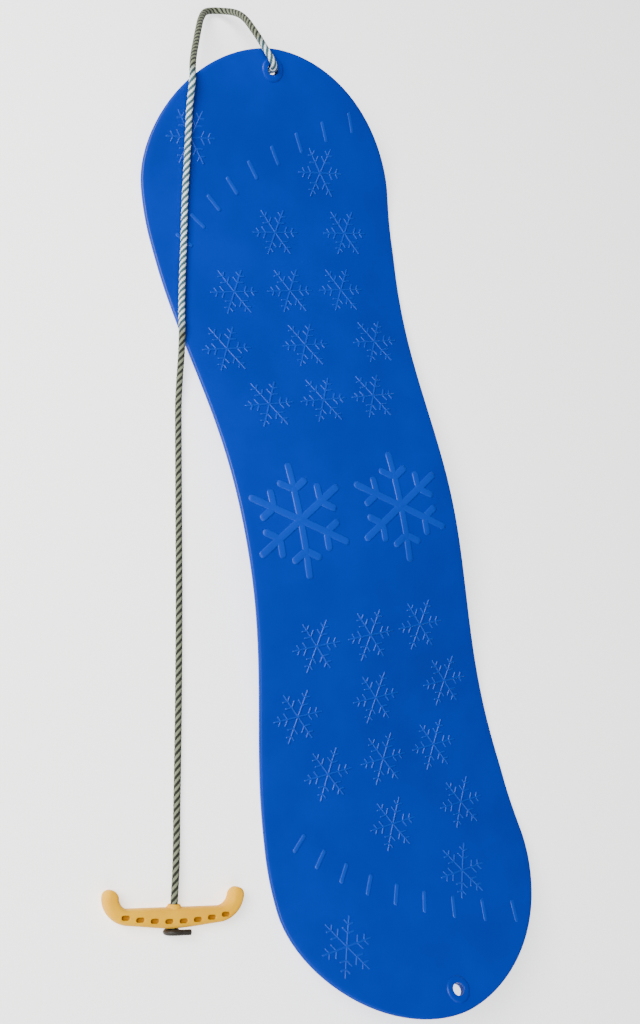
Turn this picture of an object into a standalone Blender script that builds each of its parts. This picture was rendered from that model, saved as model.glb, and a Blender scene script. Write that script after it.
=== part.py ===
"""A child's plastic snowboard with a pull rope and a handle, lying on a flat floor.

The board is one moulded sheet: arched between two lines where it touches the floor, turned up at both
ends, waisted in plan, with raised snowflakes and grip ribs on its deck, tracking grooves in its base
and a rimmed hole near each tip. A braided rope comes up through the nose hole, loops over the tip,
crosses the nose and lies on the floor to a moulded handle, which turns freely on it. A stopper knot at
each end keeps the rope in place. The board lies along Y with its nose at +Y; sizes are in metres.
"""
import math

import bmesh
import bpy
import numpy as np
from mathutils import Matrix, Vector

# Plan of the board
BOARD_LENGTH = 0.915
END_WIDTH = 0.280
WAIST_WIDTH = 0.234
END_CAP_LENGTH = 0.122
END_CAP_POWER = 1.85
FLARE_LENGTH = 0.330
FLARE_POWER = 1.57

# Side view of the board
BOARD_THICKNESS = 0.005
EDGE_RADIUS = 0.0022
CAMBER_HEIGHT = 0.038
CONTACT_DISTANCE = 0.272
CONTACT_FLAT = 0.024
TIP_RISE = 0.056
TIP_EASING = 0.70

# Grooves that run along the base and fade out before the turned-up ends
GROOVE_OFFSETS = (-0.060, -0.020, 0.020, 0.060)
GROOVE_WIDTH = 0.008
GROOVE_DEPTH = 0.0015
GROOVE_REACH = 0.300
GROOVE_FADE = 0.060

# Rimmed rope holes, one near each tip
HOLE_INSET = 0.0188
HOLE_DIAMETER = 0.011
RIM_DIAMETER = 0.024
RIM_TOP_WIDTH = 0.0035
RIM_HEIGHT = 0.002
RIM_SHOULDER_HEIGHT = 0.0016
RIM_SHOULDER_WIDTH = 0.001

# Raised ornament on the deck
RELIEF_HEIGHT = 0.001
RELIEF_SINK = 0.001
LARGE_FLAKE_WIDTH_SHARE = 0.470
LARGE_FLAKE_LINE = 0.0075
LARGE_FLAKE_BARBS = ((0.52, 0.30),)
SMALL_FLAKE_WIDTH_SHARE = 0.1857
SMALL_FLAKE_LINE = 0.0022
SMALL_FLAKE_BARBS = ((0.50, 0.30),)
RIB_LENGTH = 0.020
RIB_WIDTH = 0.0045
RIB_COUNT = 9

# Places of the ornament, as shares of the board's half width there and of its half length
LARGE_FLAKE_SHARES = ((-0.513, 0.002), (0.453, 0.002))
SMALL_FLAKE_ROW_SHARES = ((0.251, (-0.501, 0.0, 0.484)), (0.380, (-0.687, 0.0, 0.655)),
                          (0.507, (-0.469, 0.0, 0.454)), (0.640, (-0.022, 0.571)),
                          (0.769, (0.405,)), (0.824, (-0.680,)))
RIB_START_SHARES = (-0.755, 0.621)
RIB_MIDDLE_SHARES = (-0.159, 0.769)
RIB_END_SHARES = (0.796, 0.872)

# Rope and its knots
ROPE_DIAMETER = 0.0065
ROPE_STRAIGHT = 0.026
LOOP_REACH = 0.087
KNOT_ROPE_DIAMETER = 0.0050
KNOT_TAIL = 0.014
STRAND_GAP = 0.0007
SEAT_GAP = 0.0003
REST_GAP = 0.0004

# Handle
HANDLE_WIDTH = 0.125
HANDLE_REACH = 0.0315
HANDLE_THICKNESS = 0.0165
BAR_DEPTH = 0.0165
HORN_WIDTH = 0.0125
HORN_BEND_RADIUS = 0.016
HORN_BEND_ANGLE = math.radians(100)
HANDLE_BORE = 0.008
COLLAR_DIAMETER = 0.013
COLLAR_HEIGHT = 0.0025
COLLAR_LIP_WIDTH = 0.0012
COLLAR_SHOULDER_HEIGHT = 0.001
COLLAR_SINK = 0.004
HANDLE_ROUNDNESS = 0.62
HORN_TIP_THICKNESS = 0.0058
POCKET_COUNT = 8
POCKET_PITCH = 0.0127
POCKET_LENGTH = 0.0072
POCKET_WIDTH = 0.0038
POCKET_DEPTH = 0.0025
POCKET_EDGE_DISTANCE = 0.0062
POCKET_ROW_BOW = 0.0080
HANDLE_DISTANCE = 0.0944
HANDLE_ALONG_SHARE = -0.6775
HANDLE_TURN = math.radians(-14.8)

# Fineness of the meshes
CAP_STEPS = 12
BODY_STEPS = 30
EDGE_STEPS = 4
HOLE_SIDES = 24
HANDLE_RINGS = 38
HANDLE_SIDES = 16
ROPE_STEP = 2.2 * ROPE_DIAMETER

BOARD_BLUE = (0.004, 0.105, 0.560, 1.0)
HANDLE_YELLOW = (0.830, 0.420, 0.035, 1.0)
ROPE_GREY = (0.400, 0.400, 0.330, 1.0)


def clear_scene():
    """Remove every object that the scene starts with."""
    for item in list(bpy.data.objects):
        bpy.data.objects.remove(item, do_unlink=True)


def make_material(name, colour, roughness):
    """Return a Principled material of one colour and roughness."""
    material = bpy.data.materials.new(name)
    material.use_nodes = True
    shader = material.node_tree.nodes["Principled BSDF"]
    shader.inputs["Base Color"].default_value = colour
    shader.inputs["Roughness"].default_value = roughness
    shader.inputs["Metallic"].default_value = 0.0
    material.diffuse_color = colour
    return material


def add_object(name, data, material=None):
    """Put mesh or curve data into the scene as an object, and return it."""
    item = bpy.data.objects.new(name, data)
    bpy.context.scene.collection.objects.link(item)
    if material is not None:
        data.materials.append(material)
    return item


def mesh_from_bmesh(name, shape, smooth_angle=None):
    """Turn a bmesh into a mesh of triangles, with round areas shaded smooth where an angle is given."""
    bmesh.ops.recalc_face_normals(shape, faces=shape.faces)
    bmesh.ops.triangulate(shape, faces=shape.faces)
    mesh = bpy.data.meshes.new(name)
    shape.to_mesh(mesh)
    shape.free()
    if smooth_angle is not None:
        mesh.shade_smooth()
        mesh.set_sharp_from_angle(angle=smooth_angle)
    return mesh


def combine(target, operand, operation, many=False):
    """Add a Boolean modifier that joins or cuts the target with a hidden operand, of many solids or one."""
    operand.hide_render = True
    operand.display_type = "WIRE"
    modifier = target.modifiers.new(operand.name, "BOOLEAN")
    modifier.operation = operation
    modifier.object = operand
    modifier.solver = "EXACT"
    modifier.use_self = many


def smooth_step(value):
    """Rise from 0 to 1 with level ends as the value goes from 0 to 1."""
    clipped = np.clip(value, 0.0, 1.0)
    return clipped * clipped * (3.0 - 2.0 * clipped)


def half_width(y):
    """Half the board's width at distance y along it: waist, flare, then a rounded end cap."""
    distance = np.abs(np.asarray(y, float))
    widest = BOARD_LENGTH / 2 - END_CAP_LENGTH
    flare = smooth_step((distance - widest + FLARE_LENGTH) / FLARE_LENGTH) ** FLARE_POWER
    body = (WAIST_WIDTH + (END_WIDTH - WAIST_WIDTH) * flare) / 2
    past = np.clip((distance - widest) / END_CAP_LENGTH, 0.0, 1.0)
    cap = np.maximum(1.0 - past ** END_CAP_POWER, 0.0) ** (1.0 / END_CAP_POWER) * END_WIDTH / 2
    return np.where(distance > widest, cap, body)


def base_height(y):
    """Height of the base above the floor: an arch between flat contact bands, then the turned-up ends."""
    distance = np.abs(np.asarray(y, float))
    arch_end = CONTACT_DISTANCE - CONTACT_FLAT / 2
    end_start = CONTACT_DISTANCE + CONTACT_FLAT / 2
    arch = CAMBER_HEIGHT * np.cos(np.pi / 2 * np.minimum(distance / arch_end, 1.0)) ** 2
    past = np.clip((distance - end_start) / (BOARD_LENGTH / 2 - end_start), 0.0, None)
    turned_up = TIP_RISE * (1.0 - np.cos(np.pi * TIP_EASING * past)) / (1.0 - math.cos(math.pi * TIP_EASING))
    return arch + turned_up


def deck_height(y):
    """Height of the deck, the board's upper face, above the floor."""
    return base_height(y) + BOARD_THICKNESS


def deck_normal(y):
    """Unit vector square to the deck at distance y along the board."""
    step = 0.0005
    slope = float(base_height(y + step) - base_height(y - step)) / (2 * step)
    return Vector((0.0, -slope, 1.0)).normalized()


def station_distances():
    """Distances along the board of its cross-sections, from the nose tip to the tail tip."""
    widest = BOARD_LENGTH / 2 - END_CAP_LENGTH
    angles = np.linspace(math.pi / 2, 0.0, CAP_STEPS + 1)[:-1]
    cap = widest + END_CAP_LENGTH * np.sin(angles) ** (2.0 / END_CAP_POWER)
    flat_edges = [CONTACT_DISTANCE - CONTACT_FLAT / 2, CONTACT_DISTANCE + CONTACT_FLAT / 2]
    body = np.linspace(widest, 0.0, BODY_STEPS // 2 + 1)
    apart = np.min(np.abs(body[:, None] - np.array(flat_edges)), axis=1) > 0.003
    half = np.sort(np.concatenate([cap, body[apart], flat_edges]))[::-1]
    return np.concatenate([half, -half[:-1][::-1]])


def groove_depth(y):
    """Depth of the base grooves at distance y, fading to nothing past their reach."""
    return GROOVE_DEPTH * smooth_step((GROOVE_REACH + GROOVE_FADE - abs(y)) / GROOVE_FADE)


def base_columns(inner_half, y):
    """Places across the base and their heights above it, from -X to +X, with a trough for each groove."""
    depth = float(groove_depth(y))
    columns = []
    room = inner_half / (max(GROOVE_OFFSETS) + GROOVE_WIDTH)
    squeeze = min(1.0, 0.9 * room)
    for offset in GROOVE_OFFSETS:
        for share, level in ((-0.5, 0.0), (-0.25, 1.0), (0.25, 1.0), (0.5, 0.0)):
            columns.append(((offset + share * GROOVE_WIDTH) * squeeze, level * depth))
    return columns


def board_section(y, half, slant):
    """Points of one cross-section, round the edge from the deck to the base on both sides.

    The slant is the outline's outward direction in plan on the +X side. Each side is a half-round edge,
    set in from the outline along that direction.
    """
    low = float(base_height(y))
    middle = BOARD_THICKNESS / 2
    sides = []
    for step in range(EDGE_STEPS + 1):
        angle = math.pi * (0.5 - step / EDGE_STEPS)
        inset = EDGE_RADIUS * (1.0 - math.cos(angle))
        height = middle + (middle - EDGE_RADIUS) * np.sign(round(math.sin(angle), 9))
        height += EDGE_RADIUS * math.sin(angle)
        sides.append((half - inset * slant[0], y - inset * slant[1], low + height))
    right = [Vector(point) for point in sides]
    left = [Vector((-point[0], point[1], point[2])) for point in sides]
    base = right[-1]
    bottom = [Vector((x, base.y, base.z + level)) for x, level in base_columns(base.x, base.y)]
    return right, left, bottom


def board_shell():
    """Build the board without its ornament and holes: cross-sections joined from tip to tip."""
    distances = station_distances()
    halves = half_width(distances)
    shape = bmesh.new()
    rings = []
    for index in range(1, len(distances) - 1):
        along = distances[index + 1] - distances[index - 1]
        out = halves[index + 1] - halves[index - 1]
        slant = Vector((-along, out)).normalized()
        right, left, bottom = board_section(distances[index], float(halves[index]), slant)
        loop = right + list(reversed(bottom)) + list(reversed(left))
        rings.append([shape.verts.new(point) for point in loop])
    for ring, following in zip(rings, rings[1:]):
        for index in range(len(ring)):
            after = (index + 1) % len(ring)
            shape.faces.new((ring[index], ring[after], following[after], following[index]))
    for ring, sign in ((rings[0], 1.0), (rings[-1], -1.0)):
        close_tip(shape, ring, sign)
    bmesh.ops.remove_doubles(shape, verts=shape.verts, dist=1e-6)
    return mesh_from_bmesh("board", shape, math.radians(40))


def close_tip(shape, ring, sign):
    """Close one end of the board with the tip's own rounded edge, where both sides meet."""
    _, edge_line, _ = board_section(sign * BOARD_LENGTH / 2, 0.0, Vector((0.0, sign)))
    tip = [shape.verts.new((0.0, point.y, point.z)) for point in edge_line]
    count = len(tip)
    for index in range(count - 1):
        shape.faces.new((ring[index], ring[index + 1], tip[index + 1], tip[index]))
        other = len(ring) - 1 - index
        shape.faces.new((ring[other], ring[other - 1], tip[index + 1], tip[index]))
    shape.faces.new((ring[0], ring[-1], tip[0]))
    for index in range(count - 1, len(ring) - count):
        shape.faces.new((ring[index], ring[index + 1], tip[-1]))


def snowflake_faces(size, line, barbs):
    """Return the plan of a six-armed snowflake as points and faces.

    Each arm is a strip of the line's width. Each barb is a pair of side branches, given by its place and
    its length as shares of the arm's length, and leaves the arm at 60 degrees towards its tip.
    """
    reach = size / 2
    root = line / 2 / math.tan(math.radians(30))
    points = []
    faces = []
    hub = []
    for arm in range(6):
        turn = Matrix.Rotation(math.radians(60 * arm), 2)
        points.append(turn @ Vector((root, -line / 2)))
        hub.append(len(points) - 1)
    faces.append(tuple(hub))
    for arm in range(6):
        turn = Matrix.Rotation(math.radians(60 * arm), 2)
        low, high = hub[arm], hub[(arm + 1) % 6]
        for place, length in barbs:
            wide = line / math.sin(math.radians(60)) / 2
            for distance in (reach * place - wide, reach * place + wide):
                points.append(turn @ Vector((distance, -line / 2)))
                points.append(turn @ Vector((distance, line / 2)))
            start = len(points) - 4
            faces.append((low, start, start + 1, high))
            faces.append((start, start + 2, start + 3, start + 1))
            for side, first, second in ((-1, start, start + 2), (1, start + 1, start + 3)):
                lean = Matrix.Rotation(side * math.radians(60), 2) @ Vector((length * reach, 0.0))
                points.append(points[first] + turn @ lean)
                points.append(points[second] + turn @ lean)
                branch = (first, len(points) - 2, len(points) - 1, second)
                faces.append(branch if side < 0 else tuple(reversed(branch)))
            low, high = start + 2, start + 3
        points.append(turn @ Vector((reach, -line / 2)))
        points.append(turn @ Vector((reach, line / 2)))
        faces.append((low, len(points) - 2, len(points) - 1, high))
    return points, faces


def rib_faces():
    """Return the plan of one grip rib as points and a face: a short bar with clipped corners."""
    long, short = RIB_LENGTH / 2, RIB_WIDTH / 2
    clip = short * 0.6
    points = []
    for x, y in ((long, short), (-long, short), (-long, -short), (long, -short)):
        first, second = Vector((x - math.copysign(clip, x), y)), Vector((x, y - math.copysign(clip, y)))
        points += [second, first] if x * y > 0 else [first, second]
    return points, [tuple(range(len(points)))]


def raise_relief(shape, plan, centre, turn):
    """Add one raised ornament to the relief: its plan laid on the deck, from inside it to above it."""
    points, faces = plan
    rotation = Matrix.Rotation(turn, 2)
    low, high = [], []
    for point in points:
        x, y = rotation @ point + Vector(centre)
        deck = float(deck_height(y))
        low.append(shape.verts.new((x, y, deck - RELIEF_SINK)))
        high.append(shape.verts.new((x, y, deck + RELIEF_HEIGHT)))
    rims = {}
    for face in faces:
        shape.faces.new([high[index] for index in face])
        shape.faces.new([low[index] for index in reversed(face)])
        for edge in zip(face, face[1:] + face[:1]):
            rims[edge] = rims.get(edge, 0) + 1
    for start, end in rims:
        if (end, start) not in rims:
            shape.faces.new((low[start], low[end], high[end], high[start]))


def rib_arc(sign):
    """Places and turns of one end's grip ribs, on an arc across the nose or, mirrored, the tail."""
    spots = (RIB_START_SHARES, RIB_MIDDLE_SHARES, RIB_END_SHARES)
    start, middle, end = (deck_place(*shares) for shares in spots)
    control = 2 * middle - (start + end) / 2
    places = []
    for index in range(RIB_COUNT):
        t = index / (RIB_COUNT - 1)
        point = (1 - t) ** 2 * start + 2 * t * (1 - t) * control + t * t * end
        heading = 2 * (1 - t) * (control - start) + 2 * t * (end - control)
        angle = math.atan2(heading.y * sign, heading.x) + math.pi / 2
        places.append(((point.x, point.y * sign), angle))
    return places


def deck_relief():
    """Build every raised ornament of the deck as one group of separate solids."""
    shape = bmesh.new()
    large = snowflake_faces(LARGE_FLAKE_WIDTH_SHARE * WAIST_WIDTH, LARGE_FLAKE_LINE, LARGE_FLAKE_BARBS)
    for shares in LARGE_FLAKE_SHARES:
        raise_relief(shape, large, deck_place(*shares), math.radians(90))
    small = snowflake_faces(SMALL_FLAKE_WIDTH_SHARE * END_WIDTH, SMALL_FLAKE_LINE, SMALL_FLAKE_BARBS)
    for sign in (1, -1):
        for along, row in SMALL_FLAKE_ROW_SHARES:
            for across in row:
                raise_relief(shape, small, deck_place(across, sign * along), 0.0)
        for place, turn in rib_arc(sign):
            raise_relief(shape, rib_faces(), place, turn)
    return add_object("deck_relief", mesh_from_bmesh("deck_relief", shape))


def turned_solid(name, profile, sides):
    """Turn a profile of (radius, height) points about Z into a closed solid, pointed ends on the axis."""
    shape = bmesh.new()
    rings = []
    for radius, height in profile:
        ring = []
        for side in range(sides):
            angle = 2 * math.pi * side / sides
            ring.append(shape.verts.new((radius * math.cos(angle), radius * math.sin(angle), height)))
        rings.append(ring)
    for ring, following in zip(rings, rings[1:]):
        for index in range(sides):
            after = (index + 1) % sides
            shape.faces.new((ring[index], ring[after], following[after], following[index]))
    shape.faces.new(list(reversed(rings[0])))
    shape.faces.new(rings[-1])
    return add_object(name, mesh_from_bmesh(name, shape))


def deck_place(across, along):
    """Place in plan from shares of the board's half width there and of its half length."""
    y = along * BOARD_LENGTH / 2
    return Vector((across * float(half_width(y)), y))


def beside_board(distance, along, height):
    """Point at a height over the floor, at a distance out from the board's -X edge.

    Along is the share of the board's half length.
    """
    edge = deck_place(-1.0, along)
    return Vector((edge.x - distance, edge.y, height))


def above_board(across, along, height):
    """Point at a height over the board's deck, square to it, from a place in shares."""
    x, y = deck_place(across, along)
    return Vector((x, y, float(deck_height(y)))) + deck_normal(y) * height


def stand_on_deck(item, y):
    """Place an item at the deck's middle line at distance y, its Z axis square to the deck."""
    normal = deck_normal(y)
    item.rotation_mode = "QUATERNION"
    item.rotation_quaternion = Vector((0.0, 0.0, 1.0)).rotation_difference(normal)
    item.location = (0.0, y, float(deck_height(y)))


def make_board(material):
    """Make the board: its shell, the raised rims and ornament, and the two holes."""
    board = add_object("board", board_shell(), material)
    combine(board, deck_relief(), "UNION", many=True)
    outer, hole = RIM_DIAMETER / 2, HOLE_DIAMETER / 2
    crest = hole + RIM_TOP_WIDTH
    rim = ((outer, -RELIEF_SINK), (outer, 0.0), (crest + RIM_SHOULDER_WIDTH, RIM_SHOULDER_HEIGHT),
           (crest, RIM_HEIGHT))
    for name, sign in (("nose", 1), ("tail", -1)):
        y = sign * (BOARD_LENGTH / 2 - HOLE_INSET)
        boss = turned_solid(name + "_rim", rim, HOLE_SIDES)
        stand_on_deck(boss, y)
        combine(board, boss, "UNION")
        reach = BOARD_THICKNESS + RIM_HEIGHT
        cutter = turned_solid(name + "_hole", ((hole, -2 * reach), (hole, 2 * reach)), HOLE_SIDES)
        stand_on_deck(cutter, y)
        combine(board, cutter, "DIFFERENCE")
    return board


def smooth_route(points, step):
    """Read points at an even step from a smooth curve through the route's points."""
    route = [Vector(point) for point in points]
    padded = [2 * route[0] - route[1]] + route + [2 * route[-1] - route[-2]]
    dense = []
    for a, b, c, d in zip(padded, padded[1:], padded[2:], padded[3:]):
        knots = [0.0]
        for start, end in ((a, b), (b, c), (c, d)):
            knots.append(knots[-1] + math.sqrt((end - start).length))
        for share in np.linspace(0.0, 1.0, 16, endpoint=False):
            dense.append(spline_point((a, b, c, d), knots, knots[1] + share * (knots[2] - knots[1])))
    dense.append(route[-1])
    lengths = np.concatenate([[0.0], np.cumsum([(q - p).length for p, q in zip(dense, dense[1:])])])
    count = max(2, round(lengths[-1] / step))
    wanted = np.linspace(0.0, lengths[-1], count + 1)
    table = np.array(dense)
    return np.stack([np.interp(wanted, lengths, table[:, axis]) for axis in range(3)], axis=1), lengths[-1]


def spline_point(corners, knots, t):
    """Point of a centripetal spline through four corners, between the middle two, at knot value t."""
    def between(first, last, low, high):
        share = (t - low) / (high - low)
        return first * (1 - share) + last * share

    a, b, c, d = corners
    t_a, t_b, t_c, t_d = knots
    ab, bc, cd = between(a, b, t_a, t_b), between(b, c, t_b, t_c), between(c, d, t_c, t_d)
    return between(between(ab, bc, t_a, t_c), between(bc, cd, t_b, t_d), t_b, t_c)


def make_tube(name, points, diameters, material, resolution=2):
    """Make a round rope with filled ends along points, its diameter given at each point."""
    data = bpy.data.curves.new(name, "CURVE")
    data.dimensions = "3D"
    data.bevel_depth = max(diameters) / 2
    data.bevel_resolution = resolution
    data.use_fill_caps = True
    spline = data.splines.new("POLY")
    spline.points.add(len(points) - 1)
    for vertex, point, diameter in zip(spline.points, points, diameters):
        vertex.co = (*point, 1.0)
        vertex.radius = diameter / max(diameters)
    return add_object(name, data, material)


def handle_frame():
    """Return the handle's placing: bar along local X, its bore along local Y, flat on the floor."""
    place = beside_board(HANDLE_DISTANCE, HANDLE_ALONG_SHARE, HANDLE_THICKNESS / 2)
    return Matrix.Translation(place) @ Matrix.Rotation(HANDLE_TURN, 4, "Z")


def hole_frame():
    """Return the nose hole's placing: origin halfway through the board, local Z out of the deck."""
    y = BOARD_LENGTH / 2 - HOLE_INSET
    normal = deck_normal(y)
    centre = Vector((0.0, y, float(deck_height(y)))) - normal * BOARD_THICKNESS / 2
    turn = Vector((0.0, 0.0, 1.0)).rotation_difference(normal)
    return Matrix.Translation(centre) @ turn.to_matrix().to_4x4()


def over_tip(across, beyond, share):
    """Point of the rope's loop: shares of the loop's reach from the nose hole, and of the hole's height."""
    y = BOARD_LENGTH / 2 - HOLE_INSET
    level = ROPE_DIAMETER / 2 + REST_GAP
    height = level + share * (float(deck_height(y)) - level)
    return Vector((across * LOOP_REACH, y + beyond * LOOP_REACH, height))


def rope_route():
    """Points of the rope from the top of the nose hole to the far side of the handle's bar.

    The loop and the stretch on the floor are chosen points: those beside the board are shares of the
    handle's distance and of the half length, each with its rise in rope diameters. The rope lies on the
    deck's ornament where it crosses the nose, and runs straight through the hole and the handle's bore.
    """
    hole = hole_frame()
    handle = handle_frame()
    half_board = BOARD_THICKNESS / 2
    rise = Vector((-0.15, 0.06, 1.20)) * ROPE_DIAMETER
    start = [hole @ Vector((0.0, 0.0, half_board)), hole @ rise]
    loop = [(-0.055, -0.003, 1.226), (-0.113, 0.061, 1.302), (-0.159, 0.167, 1.296),
            (-0.182, 0.297, 1.226), (-0.184, 0.446, 1.086), (-0.169, 0.610, 0.890),
            (-0.157, 0.754, 0.663), (-0.159, 0.875, 0.407), (-0.191, 0.964, 0.171),
            (-0.280, 1.000, 0.051), (-0.405, 0.948, 0.115), (-0.533, 0.801, 0.287),
            (-0.660, 0.595, 0.497), (-0.795, 0.348, 0.707), (-0.920, 0.118, 0.910),
            (-1.000, -0.054, 1.042), (-1.030, -0.203, 1.036)]
    above_deck = RELIEF_HEIGHT + SEAT_GAP + ROPE_DIAMETER / 2
    crossing = ((-0.793, 0.874), (-0.725, 0.832), (-0.689, 0.765), (-0.714, 0.6995), (-0.779, 0.614),
                (-0.871, 0.531), (-0.959, 0.461), (-1.009, 0.422))
    nose = [above_board(across, along, above_deck) for across, along in crossing]
    level = ROPE_DIAMETER / 2 + REST_GAP
    beside = ((0.075, 0.380, 1.51), (0.149, 0.328, 0.75), (0.213, 0.280, 0.18), (0.271, 0.232, 0.0),
              (0.433, 0.083, 0.0), (0.612, -0.109, 0.0), (0.754, -0.295, 0.0), (0.824, -0.428, 0.0),
              (0.860, -0.5005, 0.09), (0.886, -0.545, 0.34))
    side = [beside_board(share * HANDLE_DISTANCE, along, level + rise * ROPE_DIAMETER)
            for share, along, rise in beside]
    half_bar = BAR_DEPTH / 2
    front = [half_bar + ROPE_STRAIGHT * share for share in (1.0, 0.5, 0.0)]
    bore = [handle @ Vector((0.0, y, 0.0)) for y in (*front, -half_bar - SEAT_GAP)]
    return start + [over_tip(*point) for point in loop] + nose + side + bore


def make_rope(material):
    """Make the free rope as one round tube along its route, and report its length."""
    under_hole = hole_frame() @ Vector((0.0, 0.0, -BOARD_THICKNESS / 2))
    points, length = smooth_route(rope_route(), ROPE_STEP)
    points = [under_hole, *points]
    print("rope length", round(float(length) + BOARD_THICKNESS, 4), "points", len(points))
    return make_tube("pull_rope", points, [ROPE_DIAMETER] * len(points), material)


def knot_route():
    """Centre line of a stopper knot, flat under its frame's origin, where the rope ends.

    A strand crosses under the rope's end to +X and turns counter-clockwise through three quarters of a
    circle, one strand and a gap from the middle and a little wider at first. Its tail runs on to +X.
    """
    depth = -KNOT_ROPE_DIAMETER / 2
    core = KNOT_ROPE_DIAMETER + STRAND_GAP
    route = [Vector((share * core, 0.0, depth)) for share in (-0.02, 0.18, 0.38)]
    for step in range(1, 10):
        angle = math.radians(30 * step)
        radius = core * (1.0 + 0.10 * max(0.0, math.sin(2 * angle)) * (step < 3))
        route.append(Vector((radius * math.cos(angle), radius * math.sin(angle), depth)))
    return route + [route[-1] + Vector((KNOT_TAIL * share, 0.0, 0.0)) for share in (0.5, 1.0)]


def least_own_gap(points, diameter):
    """Least gap of a tube to itself, between points more than two diameters apart along it."""
    spots = np.array(points)
    along = np.concatenate([[0.0], np.cumsum(np.linalg.norm(np.diff(spots, axis=0), axis=1))])
    apart = np.linalg.norm(spots[:, None] - spots[None], axis=2)
    far = np.abs(along[:, None] - along[None]) > 2.0 * diameter
    return float(apart[far].min() - diameter)


def make_knot(name, frame, material):
    """Make a stopper knot under the frame's origin, square to its Z axis."""
    local = [Vector(point) for point in knot_route()]
    points, _ = smooth_route(local, 0.5 * KNOT_ROPE_DIAMETER)
    print(name, "least gap to itself", round(least_own_gap(points, KNOT_ROPE_DIAMETER), 5))
    diameters = [KNOT_ROPE_DIAMETER] * len(points)
    knot = make_tube(name, points, diameters, material)
    knot.matrix_world = frame
    return knot


def handle_path():
    """Centre line of the handle from horn tip to horn tip, in its own plane, with its depth at each ring.

    The bar runs straight, then bends up by an arc into a horn at each end, a little past square, so that
    the horns lean to each other. The depth swells from the horns to the middle of the bar, all on its far
    side, so that its rope side stays straight. It closes to a round tip at the end of each horn.
    """
    horn_x = HANDLE_WIDTH / 2 - HORN_WIDTH / 2
    bar_half = horn_x - HORN_BEND_RADIUS
    arc = HORN_BEND_RADIUS * HORN_BEND_ANGLE
    bend_rise = HORN_BEND_RADIUS * (1.0 - math.cos(HORN_BEND_ANGLE))
    straight = (HANDLE_REACH - BAR_DEPTH + HORN_WIDTH / 2 - bend_rise) / math.sin(HORN_BEND_ANGLE)
    total = bar_half + arc + straight
    tip = HORN_WIDTH / 2
    ends = total - tip + tip * np.sin(np.linspace(0.0, math.pi / 2, 6))
    inner = np.linspace(0.0, total - tip, HANDLE_RINGS // 2 - 4)[:-1]
    rings = []
    for distance in np.concatenate([inner, ends]):
        swell = float(smooth_step(1.0 - distance / (bar_half + 0.5 * arc)))
        depth = HORN_WIDTH + (BAR_DEPTH - HORN_WIDTH) * swell
        closing = math.sqrt(max(0.0, 1.0 - (max(0.0, distance - total + tip) / tip) ** 2))
        x, y, heading = path_point(distance, bar_half, arc)
        rings.append((x, y + (BAR_DEPTH - depth) / 2, heading, depth * closing, closing))
    return rings


def path_point(distance, bar_half, arc):
    """Place and heading on the handle's centre line at a distance from its middle, on the +X side."""
    if distance <= bar_half:
        return distance, 0.0, 0.0
    angle = min(distance - bar_half, arc) / HORN_BEND_RADIUS
    past = max(0.0, distance - bar_half - arc)
    x = bar_half + HORN_BEND_RADIUS * math.sin(angle) + past * math.cos(angle)
    y = HORN_BEND_RADIUS * (1.0 - math.cos(angle)) + past * math.sin(angle)
    return x, y, angle


def handle_ring(x, y, heading, depth, closing, side):
    """One cross-section of the handle: a rounded rectangle, square to the centre line."""
    points = []
    for index in range(HANDLE_SIDES):
        angle = 2 * math.pi * (index + 0.5) / HANDLE_SIDES
        across = math.copysign(abs(math.cos(angle)) ** HANDLE_ROUNDNESS, math.cos(angle)) * depth / 2
        up = math.copysign(abs(math.sin(angle)) ** HANDLE_ROUNDNESS, math.sin(angle)) * HANDLE_THICKNESS / 2
        tip_share = HORN_TIP_THICKNESS / HANDLE_THICKNESS
        flat = tip_share + (1.0 - tip_share) * closing
        points.append((side * (x - across * math.sin(heading)), y + across * math.cos(heading), up * flat))
    return points


def handle_shell():
    """Build the handle's body: rounded sections carried from one horn tip to the other."""
    path = handle_path()
    outline = [(-1, ring) for ring in reversed(path[1:-1])] + [(1, ring) for ring in path[:-1]]
    highest = max(abs(point[2]) for point in handle_ring(*path[0], 1))
    shape = bmesh.new()
    rings = []
    for side, ring in outline:
        points = handle_ring(*ring, side)
        scale = HANDLE_THICKNESS / 2 / highest
        rings.append([shape.verts.new((x, y, z * scale)) for x, y, z in points])
    for ring, following in zip(rings, rings[1:]):
        for index in range(HANDLE_SIDES):
            after = (index + 1) % HANDLE_SIDES
            shape.faces.new((ring[index], ring[after], following[after], following[index]))
    for ring, side in ((rings[0], -1), (rings[-1], 1)):
        x, y = path[-1][0], path[-1][1]
        apex = shape.verts.new((side * x, y, 0.0))
        for index in range(HANDLE_SIDES):
            shape.faces.new((ring[index], ring[(index + 1) % HANDLE_SIDES], apex))
    return mesh_from_bmesh("pull_handle", shape, math.radians(45))


def make_handle(material):
    """Make the handle: its body, the collar where the rope enters, the bore and the row of pockets."""
    handle = add_object("pull_handle", handle_shell(), material)
    frame = handle_frame()
    handle.matrix_world = frame
    along_bore = Matrix.Rotation(math.radians(-90), 4, "X")
    front = BAR_DEPTH / 2
    outer = COLLAR_DIAMETER / 2
    lip = HANDLE_BORE / 2 + COLLAR_LIP_WIDTH
    shoulder = front + COLLAR_SHOULDER_HEIGHT
    profile = ((outer, front - COLLAR_SINK), (outer, shoulder), (lip, front + COLLAR_HEIGHT))
    collar = turned_solid("rope_collar", profile, HOLE_SIDES)
    collar.matrix_world = frame @ along_bore
    combine(handle, collar, "UNION")
    reach = front + 2 * COLLAR_HEIGHT
    bore = turned_solid("rope_bore", ((HANDLE_BORE / 2, -reach), (HANDLE_BORE / 2, reach)), HOLE_SIDES)
    bore.matrix_world = frame @ along_bore
    combine(handle, bore, "DIFFERENCE")
    combine(handle, pocket_cutters(frame), "DIFFERENCE")
    return handle


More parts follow.
